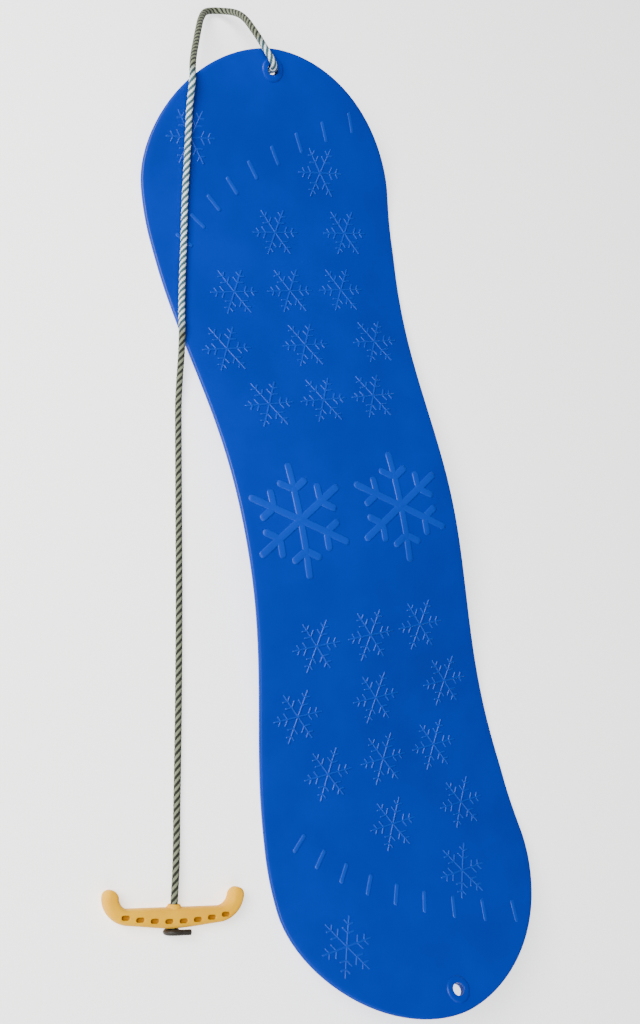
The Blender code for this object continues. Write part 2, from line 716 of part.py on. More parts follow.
def pocket_cutters(frame):
    """Make the group of oval cutters that sink the row of pockets into the bar's upper face."""
    shape = bmesh.new()
    ends = 5
    top = HANDLE_THICKNESS / 2
    straight = (POCKET_LENGTH - POCKET_WIDTH) / 2
    for index in range(POCKET_COUNT):
        x = (index - (POCKET_COUNT - 1) / 2) * POCKET_PITCH
        y = -BAR_DEPTH / 2 + POCKET_EDGE_DISTANCE + POCKET_ROW_BOW * (2 * x / HANDLE_WIDTH) ** 2
        outline = []
        for side in (1, -1):
            for step in range(ends):
                angle = side * math.pi / 2 - math.pi * step / (ends - 1)
                offset = Vector((math.cos(angle), math.sin(angle))) * POCKET_WIDTH / 2
                outline.append((x + side * straight + offset.x, y + offset.y))
        low = [shape.verts.new((u, v, top - POCKET_DEPTH)) for u, v in outline]
        high = [shape.verts.new((u, v, top + POCKET_DEPTH)) for u, v in outline]
        shape.faces.new(low)
        shape.faces.new(list(reversed(high)))
        for start in range(len(outline)):
            end = (start + 1) % len(outline)
            shape.faces.new((low[start], high[start], high[end], low[end]))
    cutters = add_object("pocket_cutters", mesh_from_bmesh("pocket_cutters", shape))
    cutters.matrix_world = frame
    return cutters


def main():
    """Make every piece of the snowboard in its place."""
    clear_scene()
    board_plastic = make_material("blue_polyethylene", BOARD_BLUE, 0.35)
    handle_plastic = make_material("yellow_plastic", HANDLE_YELLOW, 0.40)
    braid = make_material("braided_rope", ROPE_GREY, 0.85)
    make_board(board_plastic)
    make_rope(braid)
    below_hole = hole_frame() @ Matrix.Translation((0.0, 0.0, -BOARD_THICKNESS / 2 - SEAT_GAP))
    make_knot("nose_knot", below_hole, braid)
    behind_bar = handle_frame() @ Matrix.Rotation(math.radians(-90), 4, "X")
    seat = Matrix.Translation((0.0, 0.0, -BAR_DEPTH / 2 - 2 * SEAT_GAP))
    make_knot("handle_knot", behind_bar @ seat, braid)
    make_handle(handle_plastic)


main()
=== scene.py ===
"""A child's plastic snowboard with its pull rope and handle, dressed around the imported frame.

Units are metres. +Y points to the nose, +Z up out of the deck, and X runs across the board. The board's
sheet, its ornament, the rope with its knots and the handle are each a class that works out its surfaces as
whole arrays and gives them their finish. The rope's route and the board's sizes are those of the frame's
own solids.
"""
from __future__ import annotations

import logging
import math
from collections.abc import Callable
from dataclasses import dataclass, field
from enum import Enum
from typing import Union

import bmesh
import bpy
import numpy as np
from mathutils import Matrix, Vector

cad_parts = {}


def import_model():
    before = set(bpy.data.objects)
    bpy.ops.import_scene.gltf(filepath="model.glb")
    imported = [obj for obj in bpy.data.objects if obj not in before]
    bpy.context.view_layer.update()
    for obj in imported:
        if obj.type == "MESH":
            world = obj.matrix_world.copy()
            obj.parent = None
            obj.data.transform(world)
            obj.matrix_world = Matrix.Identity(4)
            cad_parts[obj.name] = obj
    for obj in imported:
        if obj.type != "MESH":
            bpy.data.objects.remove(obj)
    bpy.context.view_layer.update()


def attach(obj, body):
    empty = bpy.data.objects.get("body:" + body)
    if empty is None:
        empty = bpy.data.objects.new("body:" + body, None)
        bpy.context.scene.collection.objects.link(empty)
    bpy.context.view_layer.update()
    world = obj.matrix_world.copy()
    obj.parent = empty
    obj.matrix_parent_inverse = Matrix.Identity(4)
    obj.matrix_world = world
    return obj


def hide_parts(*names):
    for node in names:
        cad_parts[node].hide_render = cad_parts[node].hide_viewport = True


LOG = logging.getLogger("snowboard")
Array = np.ndarray
Triple = tuple[float, float, float]
Colour = Triple


class Body(Enum):
    """Bodies of the frame that a piece can ride on."""

    BOARD = "snowboard"
    HANDLE = "handle"


class End(Enum):
    """Ends of the board, each with its sign along Y."""

    NOSE = 1
    TAIL = -1


class Slot(Enum):
    """Material slots of the record."""

    BOARD = "board_plastic"
    HANDLE = "handle_plastic"
    ROPE = "braided_rope"


class Reading:
    """A shader output that arithmetic can be written with; each operation adds one Math node."""

    def __init__(self, maker: MaterialMaker, socket: bpy.types.NodeSocket) -> None:
        """Keep the material's maker, which adds nodes, and the output socket."""
        self.maker = maker
        self.socket = socket

    def math(self, operation: str, first: Term, second: Term) -> Reading:
        """Add a Math node from Blender's name of an operation and two operands, and read its result."""
        return self.maker.node("ShaderNodeMath", {"operation": operation}, {0: first, 1: second})

    def __add__(self, other: Term) -> Reading:
        """Add."""
        return self.math("ADD", self, other)

    def __radd__(self, other: Term) -> Reading:
        """Add, from the right."""
        return self.math("ADD", other, self)

    def __sub__(self, other: Term) -> Reading:
        """Subtract."""
        return self.math("SUBTRACT", self, other)

    def __rsub__(self, other: Term) -> Reading:
        """Subtract from a value on the left."""
        return self.math("SUBTRACT", other, self)

    def __mul__(self, other: Term) -> Reading:
        """Multiply."""
        return self.math("MULTIPLY", self, other)

    def __rmul__(self, other: Term) -> Reading:
        """Multiply, from the right."""
        return self.math("MULTIPLY", other, self)


Term = Union[Reading, float]


class MaterialMaker:
    """Builds one node material around a Principled shader."""

    def __init__(self, name: str) -> None:
        """Start a material.

        Args:
            name: The material's name.
        """
        self.material = bpy.data.materials.new(name)
        self.material.use_nodes = True
        self.tree = self.material.node_tree
        self.shader = self.tree.nodes["Principled BSDF"]

    def node(self, kind: str, settings: dict, inputs: dict, output: int | str = 0) -> Reading:
        """Add one node.

        Args:
            kind: The node's type.
            settings: Its settings, made first.
            inputs: A value, colour or Reading for each named or numbered input.
            output: Which output to read.

        Returns:
            The chosen output.
        """
        made = self.tree.nodes.new(kind)
        for key, value in settings.items():
            setattr(made, key, value)
        for key, value in inputs.items():
            self._feed(made.inputs[key], value)
        return Reading(self, made.outputs[output])

    def _feed(self, socket: bpy.types.NodeSocket, value: Reading | Colour | float) -> None:
        """Link a reading to an input, or set the input's own value.

        Args:
            socket: The input.
            value: What it gets.
        """
        if isinstance(value, Reading):
            self.tree.links.new(value.socket, socket)
        elif socket.type == "RGBA":
            socket.default_value = (*value, 1.0)
        else:
            socket.default_value = value

    def place(self) -> Reading:
        """Read the object coordinates, in metres."""
        return self.node("ShaderNodeTexCoord", {}, {}, "Object")

    def stretched(self, place: Reading, scale: Triple, turn: Triple) -> Reading:
        """Scale coordinates along each axis and turn them in radians, to draw a pattern out one way."""
        return self.node("ShaderNodeMapping", {}, {"Vector": place, "Rotation": turn, "Scale": scale})

    def noise(self, vector: Reading, scale: float, detail: float = 3.0, roughness: float = 0.55) -> Reading:
        """Read noise from 0 to 1: lumps per metre, octaves and the weight of the fine octaves."""
        inputs = {"Vector": vector, "Scale": scale, "Detail": detail, "Roughness": roughness}
        return self.node("ShaderNodeTexNoise", {}, inputs, "Fac")

    def rise(self, value: Reading, low: float, high: float) -> Reading:
        """Map a value smoothly to 0 below a low level and 1 above a high one."""
        inputs = {"Value": value, "From Min": low, "From Max": high}
        return self.node("ShaderNodeMapRange", {"interpolation_type": "SMOOTHSTEP"}, inputs)

    def blend(self, factor: Reading, first: Reading | Colour, second: Reading | Colour) -> Reading:
        """Mix two colours by a factor: 0 gives the first, 1 the second."""
        return self.node("ShaderNodeMix", {"data_type": "RGBA"}, {0: factor, 6: first, 7: second}, 2)

    def attribute(self, name: str) -> Reading:
        """Read a number stored by name on the mesh's points."""
        return self.node("ShaderNodeAttribute", {"attribute_name": name}, {}, "Fac")

    def bump(self, height: Reading, distance: float, strength: float = 1.0) -> Reading:
        """Turn a height, whose 1 stands for a distance in metres, into a share of the tilted normal."""
        inputs = {"Height": height, "Distance": distance, "Strength": strength}
        return self.node("ShaderNodeBump", {}, inputs)

    def finish(self, **sockets: Reading | Colour | float) -> bpy.types.Material:
        """Feed the shader's sockets and return the material.

        Args:
            sockets: Inputs by name, with an underscore for each space.

        Returns:
            The material.
        """
        for name, value in sockets.items():
            self._feed(self.shader.inputs[name.replace("_", " ")], value)
        return self.material


@dataclass(frozen=True)
class MouldedPlastic:
    """Glossy or satin plastic out of a mould, with faint clouding, scuffs and a pebbled skin.

    With a colour for painted pocket shade, the point attribute "hollow" darkens the pockets with painted
    shade: 0 outside, 1 on their floors.
    """

    name: str
    colour: Colour
    deep_colour: Colour
    roughness: float
    scuff_roughness: float
    shine: float
    pocket_shade_colour: Colour | None = None
    refraction: float = 1.50
    flow_length: float = 0.060
    cloud_roughness: float = 0.05
    grain_size: float = 0.0009
    grain_depth: float = 0.00002
    waves_per_metre: float = 22.0
    wave_depth: float = 0.00022
    scuff_stretch: Triple = (260.0, 9.0, 60.0)
    scuff_turn: Triple = (0.0, 0.0, 0.35)
    scuff_depth: float = 0.00003
    patches_per_metre: float = 14.0

    def material(self) -> bpy.types.Material:
        """Build the material: scuffs show only in patches, where they roughen and raise the skin.

        Returns:
            The material.
        """
        maker = MaterialMaker(self.name)
        place = maker.place()
        clouds = maker.noise(place, 1.0 / self.flow_length, 4.0)
        colour = maker.blend(maker.rise(clouds, 0.30, 0.72), self.colour, self.deep_colour)
        # Painted shade: the colour darkens towards the pocket shade colour on the pockets' floors.
        if self.pocket_shade_colour is not None:
            colour = maker.blend(maker.attribute("hollow"), colour, self.pocket_shade_colour)
        drawn_out = maker.stretched(place, self.scuff_stretch, self.scuff_turn)
        scuffs = maker.rise(maker.noise(drawn_out, 1.0, 5.0, 0.7), 0.60, 0.74)
        patches = maker.rise(maker.noise(place, self.patches_per_metre), 0.46, 0.66)
        worn = scuffs * patches
        wear = worn * (self.scuff_roughness - self.roughness)
        rough = self.roughness + wear + clouds * self.cloud_roughness
        grain = maker.noise(place, 1.0 / self.grain_size, 2.0)
        waves = maker.noise(place, self.waves_per_metre, 2.0)
        height = grain * self.grain_depth + waves * self.wave_depth + worn * self.scuff_depth
        return maker.finish(Base_Color=colour, Roughness=rough, IOR=self.refraction,
                            Specular_IOR_Level=self.shine, Normal=maker.bump(height, 1.0))


@dataclass(frozen=True)
class BraidedCord:
    """Braided fibre whose tracer strands wind through pale ones, read from the piece's strand attributes.

    Beyond the board's outline a point attribute gives the pale and tracer strands darker colours. Where a
    second attribute is 1, the fibre is near black and smoother: the heat-sealed end, and painted shade on
    the rest of a knot.
    """

    name: str
    pale: Colour
    furrow_shade_and_dirt: Colour
    tracer: Colour
    pale_outside_board: Colour
    tracer_outside_board: Colour
    sealed_and_shaded: Colour
    roughness: float = 0.86
    sealed_and_shaded_polish: float = 0.35
    fuzz_roughness: float = 0.08
    fibre_size: float = 0.00022
    fibre_depth: float = 0.00012
    soil_per_metre: float = 45.0
    soil_share: float = 0.22
    sheen: float = 0.04

    def material(self) -> bpy.types.Material:
        """Build the material: painted shade darkens the pale strands in the furrows, and random dirt patches
        darken them too.

        Returns:
            The material.
        """
        maker = MaterialMaker(self.name)
        place = maker.place()
        fuzz = maker.noise(place, 1.0 / self.fibre_size, 3.0, 0.7)
        soil = maker.rise(maker.noise(place, self.soil_per_metre), 0.35, 0.75)
        off_board, sealed_and_shaded = maker.attribute("darkened_outside"), maker.attribute("sealed_and_shaded")
        # Beyond the board's outline the pale and tracer strands take darker colours.
        pale = maker.blend(off_board, self.pale, self.pale_outside_board)
        # Painted shade: pale strands take the dark colour where the skin is low, in the furrows.
        pale = maker.blend(maker.rise(maker.attribute("strand_height"), 0.15, 0.75), self.furrow_shade_and_dirt, pale)
        pale = maker.blend(soil * self.soil_share, pale, self.furrow_shade_and_dirt)
        tracer = maker.blend(off_board, self.tracer, self.tracer_outside_board)
        colour = maker.blend(maker.attribute("tracer"), pale, tracer)
        # Near black where the knot's darkening is 1: the heat-sealed end, and painted shade on the rest of
        # the knot.
        colour = maker.blend(sealed_and_shaded, colour, self.sealed_and_shaded)
        rough = self.roughness - sealed_and_shaded * self.sealed_and_shaded_polish + fuzz * self.fuzz_roughness
        return maker.finish(Base_Color=colour, Roughness=rough, Sheen_Weight=self.sheen, Sheen_Roughness=0.5,
                            Normal=maker.bump(fuzz, self.fibre_depth, 0.8))


@dataclass(frozen=True)
class StudioFloor:
    """Pale seamless floor."""

    name: str
    colour: Colour
    roughness: float = 0.85
    glow: float = 1.5

    def material(self) -> bpy.types.Material:
        """Build the material.

        Returns:
            The material.
        """
        maker = MaterialMaker(self.name)
        return maker.finish(Base_Color=self.colour, Roughness=self.roughness, Emission_Color=self.colour,
                            Emission_Strength=self.glow)


BLUE_PLASTIC = MouldedPlastic("blue_board_plastic", (0.0, 0.027, 0.330), (0.0, 0.023, 0.285),
                              roughness=0.36, scuff_roughness=0.48, shine=0.18)
# Painted highlight: the raised ornament's plastic is a lighter copy of the board's blue, standing in for the
# light that its raised lines catch.
BLUE_RELIEF_PAINTED_HIGHLIGHT = MouldedPlastic("blue_raised_plastic_painted_highlight", (0.0, 0.040, 0.400), (0.0, 0.034, 0.350),
                             roughness=0.40, scuff_roughness=0.50, shine=0.34)
# The handle's pocket colour is painted shade in its pockets.
YELLOW_PLASTIC = MouldedPlastic("yellow_handle_plastic", (0.830, 0.430, 0.0), (0.720, 0.330, 0.0),
                                roughness=0.50, scuff_roughness=0.60, shine=0.10,
                                pocket_shade_colour=(0.300, 0.120, 0.0), grain_size=0.0006)
# The rope's dark strand colour is painted shade in the furrows and also random dirt; its near-black colour
# is the sealed ends and painted shade on the knots.
ROPE_BRAID = BraidedCord("white_green_braid", pale=(0.780, 0.920, 0.960), furrow_shade_and_dirt=(0.130, 0.145, 0.100),
                         tracer=(0.030, 0.085, 0.105), pale_outside_board=(0.165, 0.190, 0.115),
                         tracer_outside_board=(0.006, 0.008, 0.003), sealed_and_shaded=(0.010, 0.006, 0.002))
PALE_FLOOR = StudioFloor("pale_floor", (0.90, 0.90, 0.90))


def smooth_step(value: Array) -> Array:
    """Rise from 0 to 1, held at both ends: three times the square less twice the cube."""
    held = np.clip(value, 0.0, 1.0)
    return held * held * (3.0 - 2.0 * held)


def unit(vectors: Array) -> Array:
    """Scale vectors on the last axis to a length of one."""
    return vectors / np.linalg.norm(vectors, axis=-1, keepdims=True)


def grid_faces(rows: int, columns: int, wrap: bool) -> Array:
    """Number the quads of a grid of points, row after row.

    Args:
        rows: Rows of points.
        columns: Points in a row.
        wrap: Whether the last column joins the first.

    Returns:
        Four point numbers for each quad.
    """
    row = np.arange(rows - 1)[:, None]
    column = np.arange(columns if wrap else columns - 1)[None]
    after = (column + 1) % columns
    corners = np.stack([row * columns + column, row * columns + after,
                        (row + 1) * columns + after, (row + 1) * columns + column], axis=-1)
    return corners.reshape(-1, 4)


def make_mesh(name: str, points: Array, faces: list[Array], readings: dict[str, Array] | None = None,
              sharp_degrees: float = 40.0, merge: bool = True) -> bpy.types.Object:
    """Put points and faces into a mesh object at the origin, with faces pointing out.

    Args:
        name: The piece's name.
        points: Points, three numbers each.
        faces: Arrays of point numbers, one array for each count of corners.
        readings: Numbers for each point, by attribute name.
        sharp_degrees: Edges turned further than this stay sharp.
        merge: Whether points at one place are joined.

    Returns:
        The object.
    """
    mesh = bpy.data.meshes.new(name)
    corners = [face for group in faces for face in group.tolist()]
    mesh.from_pydata(points.reshape(-1, 3).tolist(), [], corners)
    for key, values in (readings or {}).items():
        layer = mesh.attributes.new(key, "FLOAT", "POINT")
        layer.data.foreach_set("value", np.ascontiguousarray(values.reshape(-1), np.float32))
    piece = bpy.data.objects.new(name, mesh)
    bpy.context.scene.collection.objects.link(piece)
    tidy_mesh(piece, sharp_degrees, merge)
    return piece


def tidy_mesh(piece: bpy.types.Object, sharp_degrees: float, merge: bool = True) -> None:
    """Join doubled points, turn faces outwards and shade round areas smooth.

    Args:
        piece: The mesh object.
        sharp_degrees: Edges turned further than this stay sharp.
        merge: Whether points at one place are joined.
    """
    shape = bmesh.new()
    shape.from_mesh(piece.data)
    if merge:
        bmesh.ops.remove_doubles(shape, verts=shape.verts, dist=2e-6)
        bmesh.ops.dissolve_degenerate(shape, edges=shape.edges, dist=1e-7)
    bmesh.ops.recalc_face_normals(shape, faces=shape.faces)
    shape.to_mesh(piece.data)
    shape.free()
    piece.data.shade_smooth()
    piece.data.set_sharp_from_angle(angle=math.radians(sharp_degrees))


def dress(piece: bpy.types.Object, finish: MouldedPlastic | BraidedCord, body: Body) -> None:
    """Give a piece its material and its body.

    Args:
        piece: The piece.
        finish: What it is made of.
        body: What it moves with.
    """
    material = bpy.data.materials.get(finish.name) or finish.material()
    piece.data.materials.clear()
    piece.data.materials.append(material)
    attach(piece, body.value)
    LOG.info("%s: %d faces", piece.name, len(piece.data.polygons))


def cut_with(piece: bpy.types.Object, cutter: bpy.types.Object) -> None:
    """Cut one closed mesh out of another and keep the result in the piece's own mesh.

    Args:
        piece: The mesh that is cut.
        cutter: The mesh that cuts; it is removed.
    """
    modifier = piece.modifiers.new("cut", "BOOLEAN")
    modifier.operation = "DIFFERENCE"
    modifier.object = cutter
    modifier.solver = "EXACT"
    graph = bpy.context.evaluated_depsgraph_get()
    result = bpy.data.meshes.new_from_object(piece.evaluated_get(graph))
    piece.modifiers.clear()
    old = piece.data
    piece.data = result
    bpy.data.meshes.remove(old)
    bpy.data.objects.remove(cutter, do_unlink=True)


def moved(points: Array, frame: Matrix) -> Array:
    """Carry points from a frame's own axes into the world's: turned by it, then shifted."""
    return points @ np.array(frame.to_3x3()).T + np.array(frame.translation)


def arc(middle: tuple[float, float], radii: tuple[float, float], start: float, end: float,
        steps: int) -> Array:
    """Points of an elliptic arc: its middle, plus the half axes times the angle's cosine and sine."""
    angle = np.linspace(start, end, steps + 1)
    return np.array(middle) + np.array(radii) * np.stack([np.cos(angle), np.sin(angle)], axis=-1)


def turned(name: str, profile: Array, sides: int, frame: Matrix, closed: bool = True) -> bpy.types.Object:
    """Turn a profile about a frame's Z axis.

    Point (turn, step) is the frame's origin, plus the profile's radius along the turned X axis, plus its
    height along Z. A closed profile makes a ring; an open one ends on the axis at both ends.

    Args:
        name: The piece's name.
        profile: Pairs of radius and height.
        sides: Steps in a full turn.
        frame: Where the axis lies.
        closed: Whether the profile's last point joins its first.

    Returns:
        The object.
    """
    angle = 2.0 * np.pi * np.arange(sides)[:, None] / sides
    radius, height = profile[:, 0][None], profile[:, 1][None]
    local = np.stack([radius * np.cos(angle), radius * np.sin(angle), height + 0.0 * angle], axis=-1)
    placed = moved(local, frame)
    rows = np.concatenate([placed, placed[:1]])
    return make_mesh(name, rows, [grid_faces(sides + 1, len(profile), closed)], sharp_degrees=50.0)


def plug(name: str, radius: float, reach: float, sides: int, frame: Matrix) -> bpy.types.Object:
    """Make a round rod on a frame's Z axis that reaches as far to both sides, to cut a hole with."""
    wall = np.array([(0.0, -reach), (radius, -reach), (radius, reach), (0.0, reach)])
    return turned(name, wall, sides, frame, closed=False)


@dataclass
class BoardForm:
    """The board's plan and side view, as in the frame's own solid."""

    length: float = 0.915
    end_width: float = 0.280
    waist_width: float = 0.234
    cap_length: float = 0.122
    cap_power: float = 1.85
    flare_length: float = 0.330
    flare_power: float = 1.57
    thickness: float = 0.005
    edge_radius: float = 0.0022
    camber: float = 0.038
    contact: float = 0.272
    contact_flat: float = 0.024
    tip_rise: float = 0.056
    tip_easing: float = 0.70
    hole_inset: float = 0.0188

    def half_width(self, y: Array | float) -> Array:
        """Half the width along the board: the waist, widening by an eased step, then a superellipse cap.

        Args:
            y: Distances along the board.

        Returns:
            Half widths.
        """
        distance = np.abs(y)
        widest = self.length / 2 - self.cap_length
        flare = smooth_step((distance - widest + self.flare_length) / self.flare_length) ** self.flare_power
        body = (self.waist_width + (self.end_width - self.waist_width) * flare) / 2
        past = np.clip((distance - widest) / self.cap_length, 0.0, 1.0)
        cap = np.maximum(1.0 - past ** self.cap_power, 0.0) ** (1.0 / self.cap_power) * self.end_width / 2
        return np.where(distance > widest, cap, body)

    def base_height(self, y: Array | float) -> Array:
        """Height of the base: a squared-cosine arch, level contact bands, and ends that curl by a cosine.

        Args:
            y: Distances along the board.

        Returns:
            Heights above the floor.
        """
        distance = np.abs(y)
        arch_end = self.contact - self.contact_flat / 2
        end_start = self.contact + self.contact_flat / 2
        arch = self.camber * np.cos(np.pi / 2 * np.minimum(distance / arch_end, 1.0)) ** 2
        past = np.clip((distance - end_start) / (self.length / 2 - end_start), 0.0, None)
        curl = (1.0 - np.cos(np.pi * self.tip_easing * past)) / (1.0 - math.cos(math.pi * self.tip_easing))
        return arch + self.tip_rise * curl

    def deck_height(self, y: Array | float) -> Array:
        """Height of the deck above the floor: the base's height and the thickness."""
        return self.base_height(y) + self.thickness

    def deck_normal(self, y: float) -> Vector:
        """Unit vector square to the deck: its slope is the base's rise over two small steps.

        Args:
            y: Distance along the board.

        Returns:
            The normal.
        """
        step = 0.0005
        rise = float(self.base_height(y + step) - self.base_height(y - step))
        return Vector((0.0, -rise / (2 * step), 1.0)).normalized()

    def place(self, across: float, along: float) -> tuple[float, float]:
        """X and Y at a share of the half width, and at a share of the half length."""
        y = along * self.length / 2
        return across * float(self.half_width(y)), y

    def above(self, across: float, along: float, height: float) -> Vector:
        """Point at a height square to the deck, over a place on it given by shares."""
        x, y = self.place(across, along)
        return Vector((x, y, float(self.deck_height(y)))) + self.deck_normal(y) * height

    def beside(self, distance: float, along: float, height: float) -> Vector:
        """Point at a height above the floor, at a distance out from the board's -X edge."""
        x, y = self.place(-1.0, along)
        return Vector((x - distance, y, height))

    def hole_distance(self, end: End) -> float:
        """Distance of an end's rope hole along the board."""
        return end.value * (self.length / 2 - self.hole_inset)

    def hole_frame(self, end: End) -> Matrix:
        """Place of a rope hole: its origin halfway through the board, Z out of the deck.

        Args:
            end: The hole's end of the board.

        Returns:
            The placing.
        """
        y = self.hole_distance(end)
        turn = Vector((0.0, 0.0, 1.0)).rotation_difference(self.deck_normal(y))
        centre = self.above(0.0, y / (self.length / 2), -self.thickness / 2)
        return Matrix.Translation(centre) @ turn.to_matrix().to_4x4()


@dataclass
class BoardShell:
    """The board's own sheet with its grooves, half-round edge, rope holes and rims."""

    form: BoardForm
    grooves: tuple[float, ...] = (-0.060, -0.020, 0.020, 0.060)
    groove_width: float = 0.008
    groove_depth: float = 0.0015
    groove_reach: float = 0.300
    groove_fade: float = 0.060
    groove_room: float = 0.9
    hole_diameter: float = 0.011
    hole_sides: int = 96
    rim_diameter: float = 0.024
    rim_height: float = 0.002
    rim_top_width: float = 0.0035
    rim_lip: float = 0.0008
    rim_root: float = 0.0008
    rim_lining: float = 0.0006
    deck_columns: int = 44
    edge_steps: int = 10
    body_rows: int = 180
    cap_rows: int = 26
    crease_degrees: float = 32.0

    def stations(self) -> Array:
        """Distances of the cross-sections: even along the body, closing up towards each tip.

        In a cap the distance from its widest line is its length times the sine of an even angle, raised to
        twice the inverse of the outline's power, so that steps are even round the outline.

        Returns:
            Distances from the nose tip to the tail tip.
        """
        widest = self.form.length / 2 - self.form.cap_length
        angle = np.linspace(math.pi / 2, 0.0, self.cap_rows + 1)[:-1]
        cap = widest + self.form.cap_length * np.sin(angle) ** (2.0 / self.form.cap_power)
        body = np.linspace(widest, -widest, self.body_rows + 1)
        return np.concatenate([cap, body, -cap[::-1]])

    def base_columns(self) -> tuple[Array, Array]:
        """Places across the base: six for each groove, and how deep in it each of them lies.

        Returns:
            Offsets in metres and depths from 0 to 1.
        """
        shares = np.array([-0.5, -0.36, -0.24, 0.24, 0.36, 0.5])
        levels = np.array([0.0, 0.5, 1.0, 1.0, 0.5, 0.0])
        centres = np.array(self.grooves)[:, None]
        offsets = (centres + shares[None] * self.groove_width).ravel()
        return offsets, np.tile(levels, len(self.grooves))

    def surface(self) -> Array:
        """Points of the sheet as rings of cross-sections, nose tip first.

        A ring runs across the deck, round a half-circle of the edge radius (set in along the outline's
        outward direction), back across the base, and round the other edge. At each tip the outline's half
        width is nothing, so that ring folds to the tip's own edge line.

        Returns:
            Points on (station, place in the ring).
        """
        form = self.form
        y = self.stations()
        half = form.half_width(y)
        along, out = np.gradient(y), np.gradient(half)
        slant = unit(np.stack([-along, out], axis=-1))
        slant[0], slant[-1] = (0.0, 1.0), (0.0, -1.0)
        half[0] = half[-1] = 0.0
        angle = np.pi * (0.5 - np.arange(self.edge_steps + 1) / self.edge_steps)
        inset = form.edge_radius * (1.0 - np.cos(angle))
        middle = form.thickness / 2
        straight = (middle - form.edge_radius) * np.sign(np.round(np.sin(angle), 9))
        height = middle + straight + form.edge_radius * np.sin(angle)
        edge_x = half[:, None] - inset[None] * slant[:, :1]
        edge_y = y[:, None] - inset[None] * slant[:, 1:]
        edge_z = form.base_height(y)[:, None] + height[None]
        edge_x[0] = edge_x[-1] = 0.0
        across = np.linspace(-1.0, 1.0, self.deck_columns + 2)[1:-1]
        deck = np.stack([across[None] * edge_x[:, :1], edge_y[:, :1] + 0.0 * across,
                         edge_z[:, :1] + 0.0 * across], axis=-1)
        offsets, levels = self.base_columns()
        spread = max(self.grooves) + self.groove_width
        room = np.clip(self.groove_room * edge_x[:, -1:] / spread, 0.0, 1.0)
        fade = smooth_step((self.groove_reach + self.groove_fade - np.abs(y)) / self.groove_fade)
        dip = self.groove_depth * fade[:, None] * levels[None]
        base = np.stack([offsets[None] * room, edge_y[:, -1:] + 0.0 * offsets,
                         edge_z[:, -1:] + dip], axis=-1)[:, ::-1]
        right = np.stack([edge_x, edge_y, edge_z], axis=-1)
        left = right[:, ::-1] * np.array([-1.0, 1.0, 1.0])
        return np.concatenate([deck, right, base, left], axis=1)

    def build(self) -> list[bpy.types.Object]:
        """Make the sheet, cut its holes and add their rims.

        Returns:
            The pieces.
        """
        points = self.surface()
        sheet = make_mesh("board_sheet", points, [grid_faces(points.shape[0], points.shape[1], True)],
                          sharp_degrees=self.crease_degrees)
        pieces = [sheet]
        radius, reach = self.hole_diameter / 2, self.form.thickness
        for end in End:
            name, frame = end.name.lower(), self.form.hole_frame(end)
            cut_with(sheet, plug(name + "_cutter", radius, reach, self.hole_sides, frame))
            pieces.append(self.rim(name + "_hole_rim", frame))
        tidy_mesh(sheet, self.crease_degrees)
        for piece in pieces:
            dress(piece, BLUE_PLASTIC, Body.BOARD)
        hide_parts("board")
        return pieces

    def rim(self, name: str, frame: Matrix) -> bpy.types.Object:
        """Make a hole's raised rim, whose inner wall lines the hole.

        The profile climbs from the deck by a quarter-ellipse shoulder, crosses a level top with a rounded
        inner lip and goes down the hole's wall to the base.

        Args:
            name: The piece's name.
            frame: The hole's placing.

        Returns:
            The rim.
        """
        deck, base = self.form.thickness / 2, -self.form.thickness / 2
        outer, inner = self.rim_diameter / 2, self.hole_diameter / 2
        crest, lining = inner + self.rim_top_width, inner + self.rim_lining
        shoulder = arc((crest, deck), (outer - crest, self.rim_height), 0.0, math.pi / 2, 8)
        lip, root = self.rim_lip, deck - self.rim_root
        inside = arc((inner + lip, deck + self.rim_height - lip), (lip, lip), math.pi / 2, math.pi, 5)
        wall = np.array([(inner, base), (lining, base), (lining, root), (outer, root)])
        return turned(name, np.concatenate([shoulder, inside, wall]), self.hole_sides, frame)


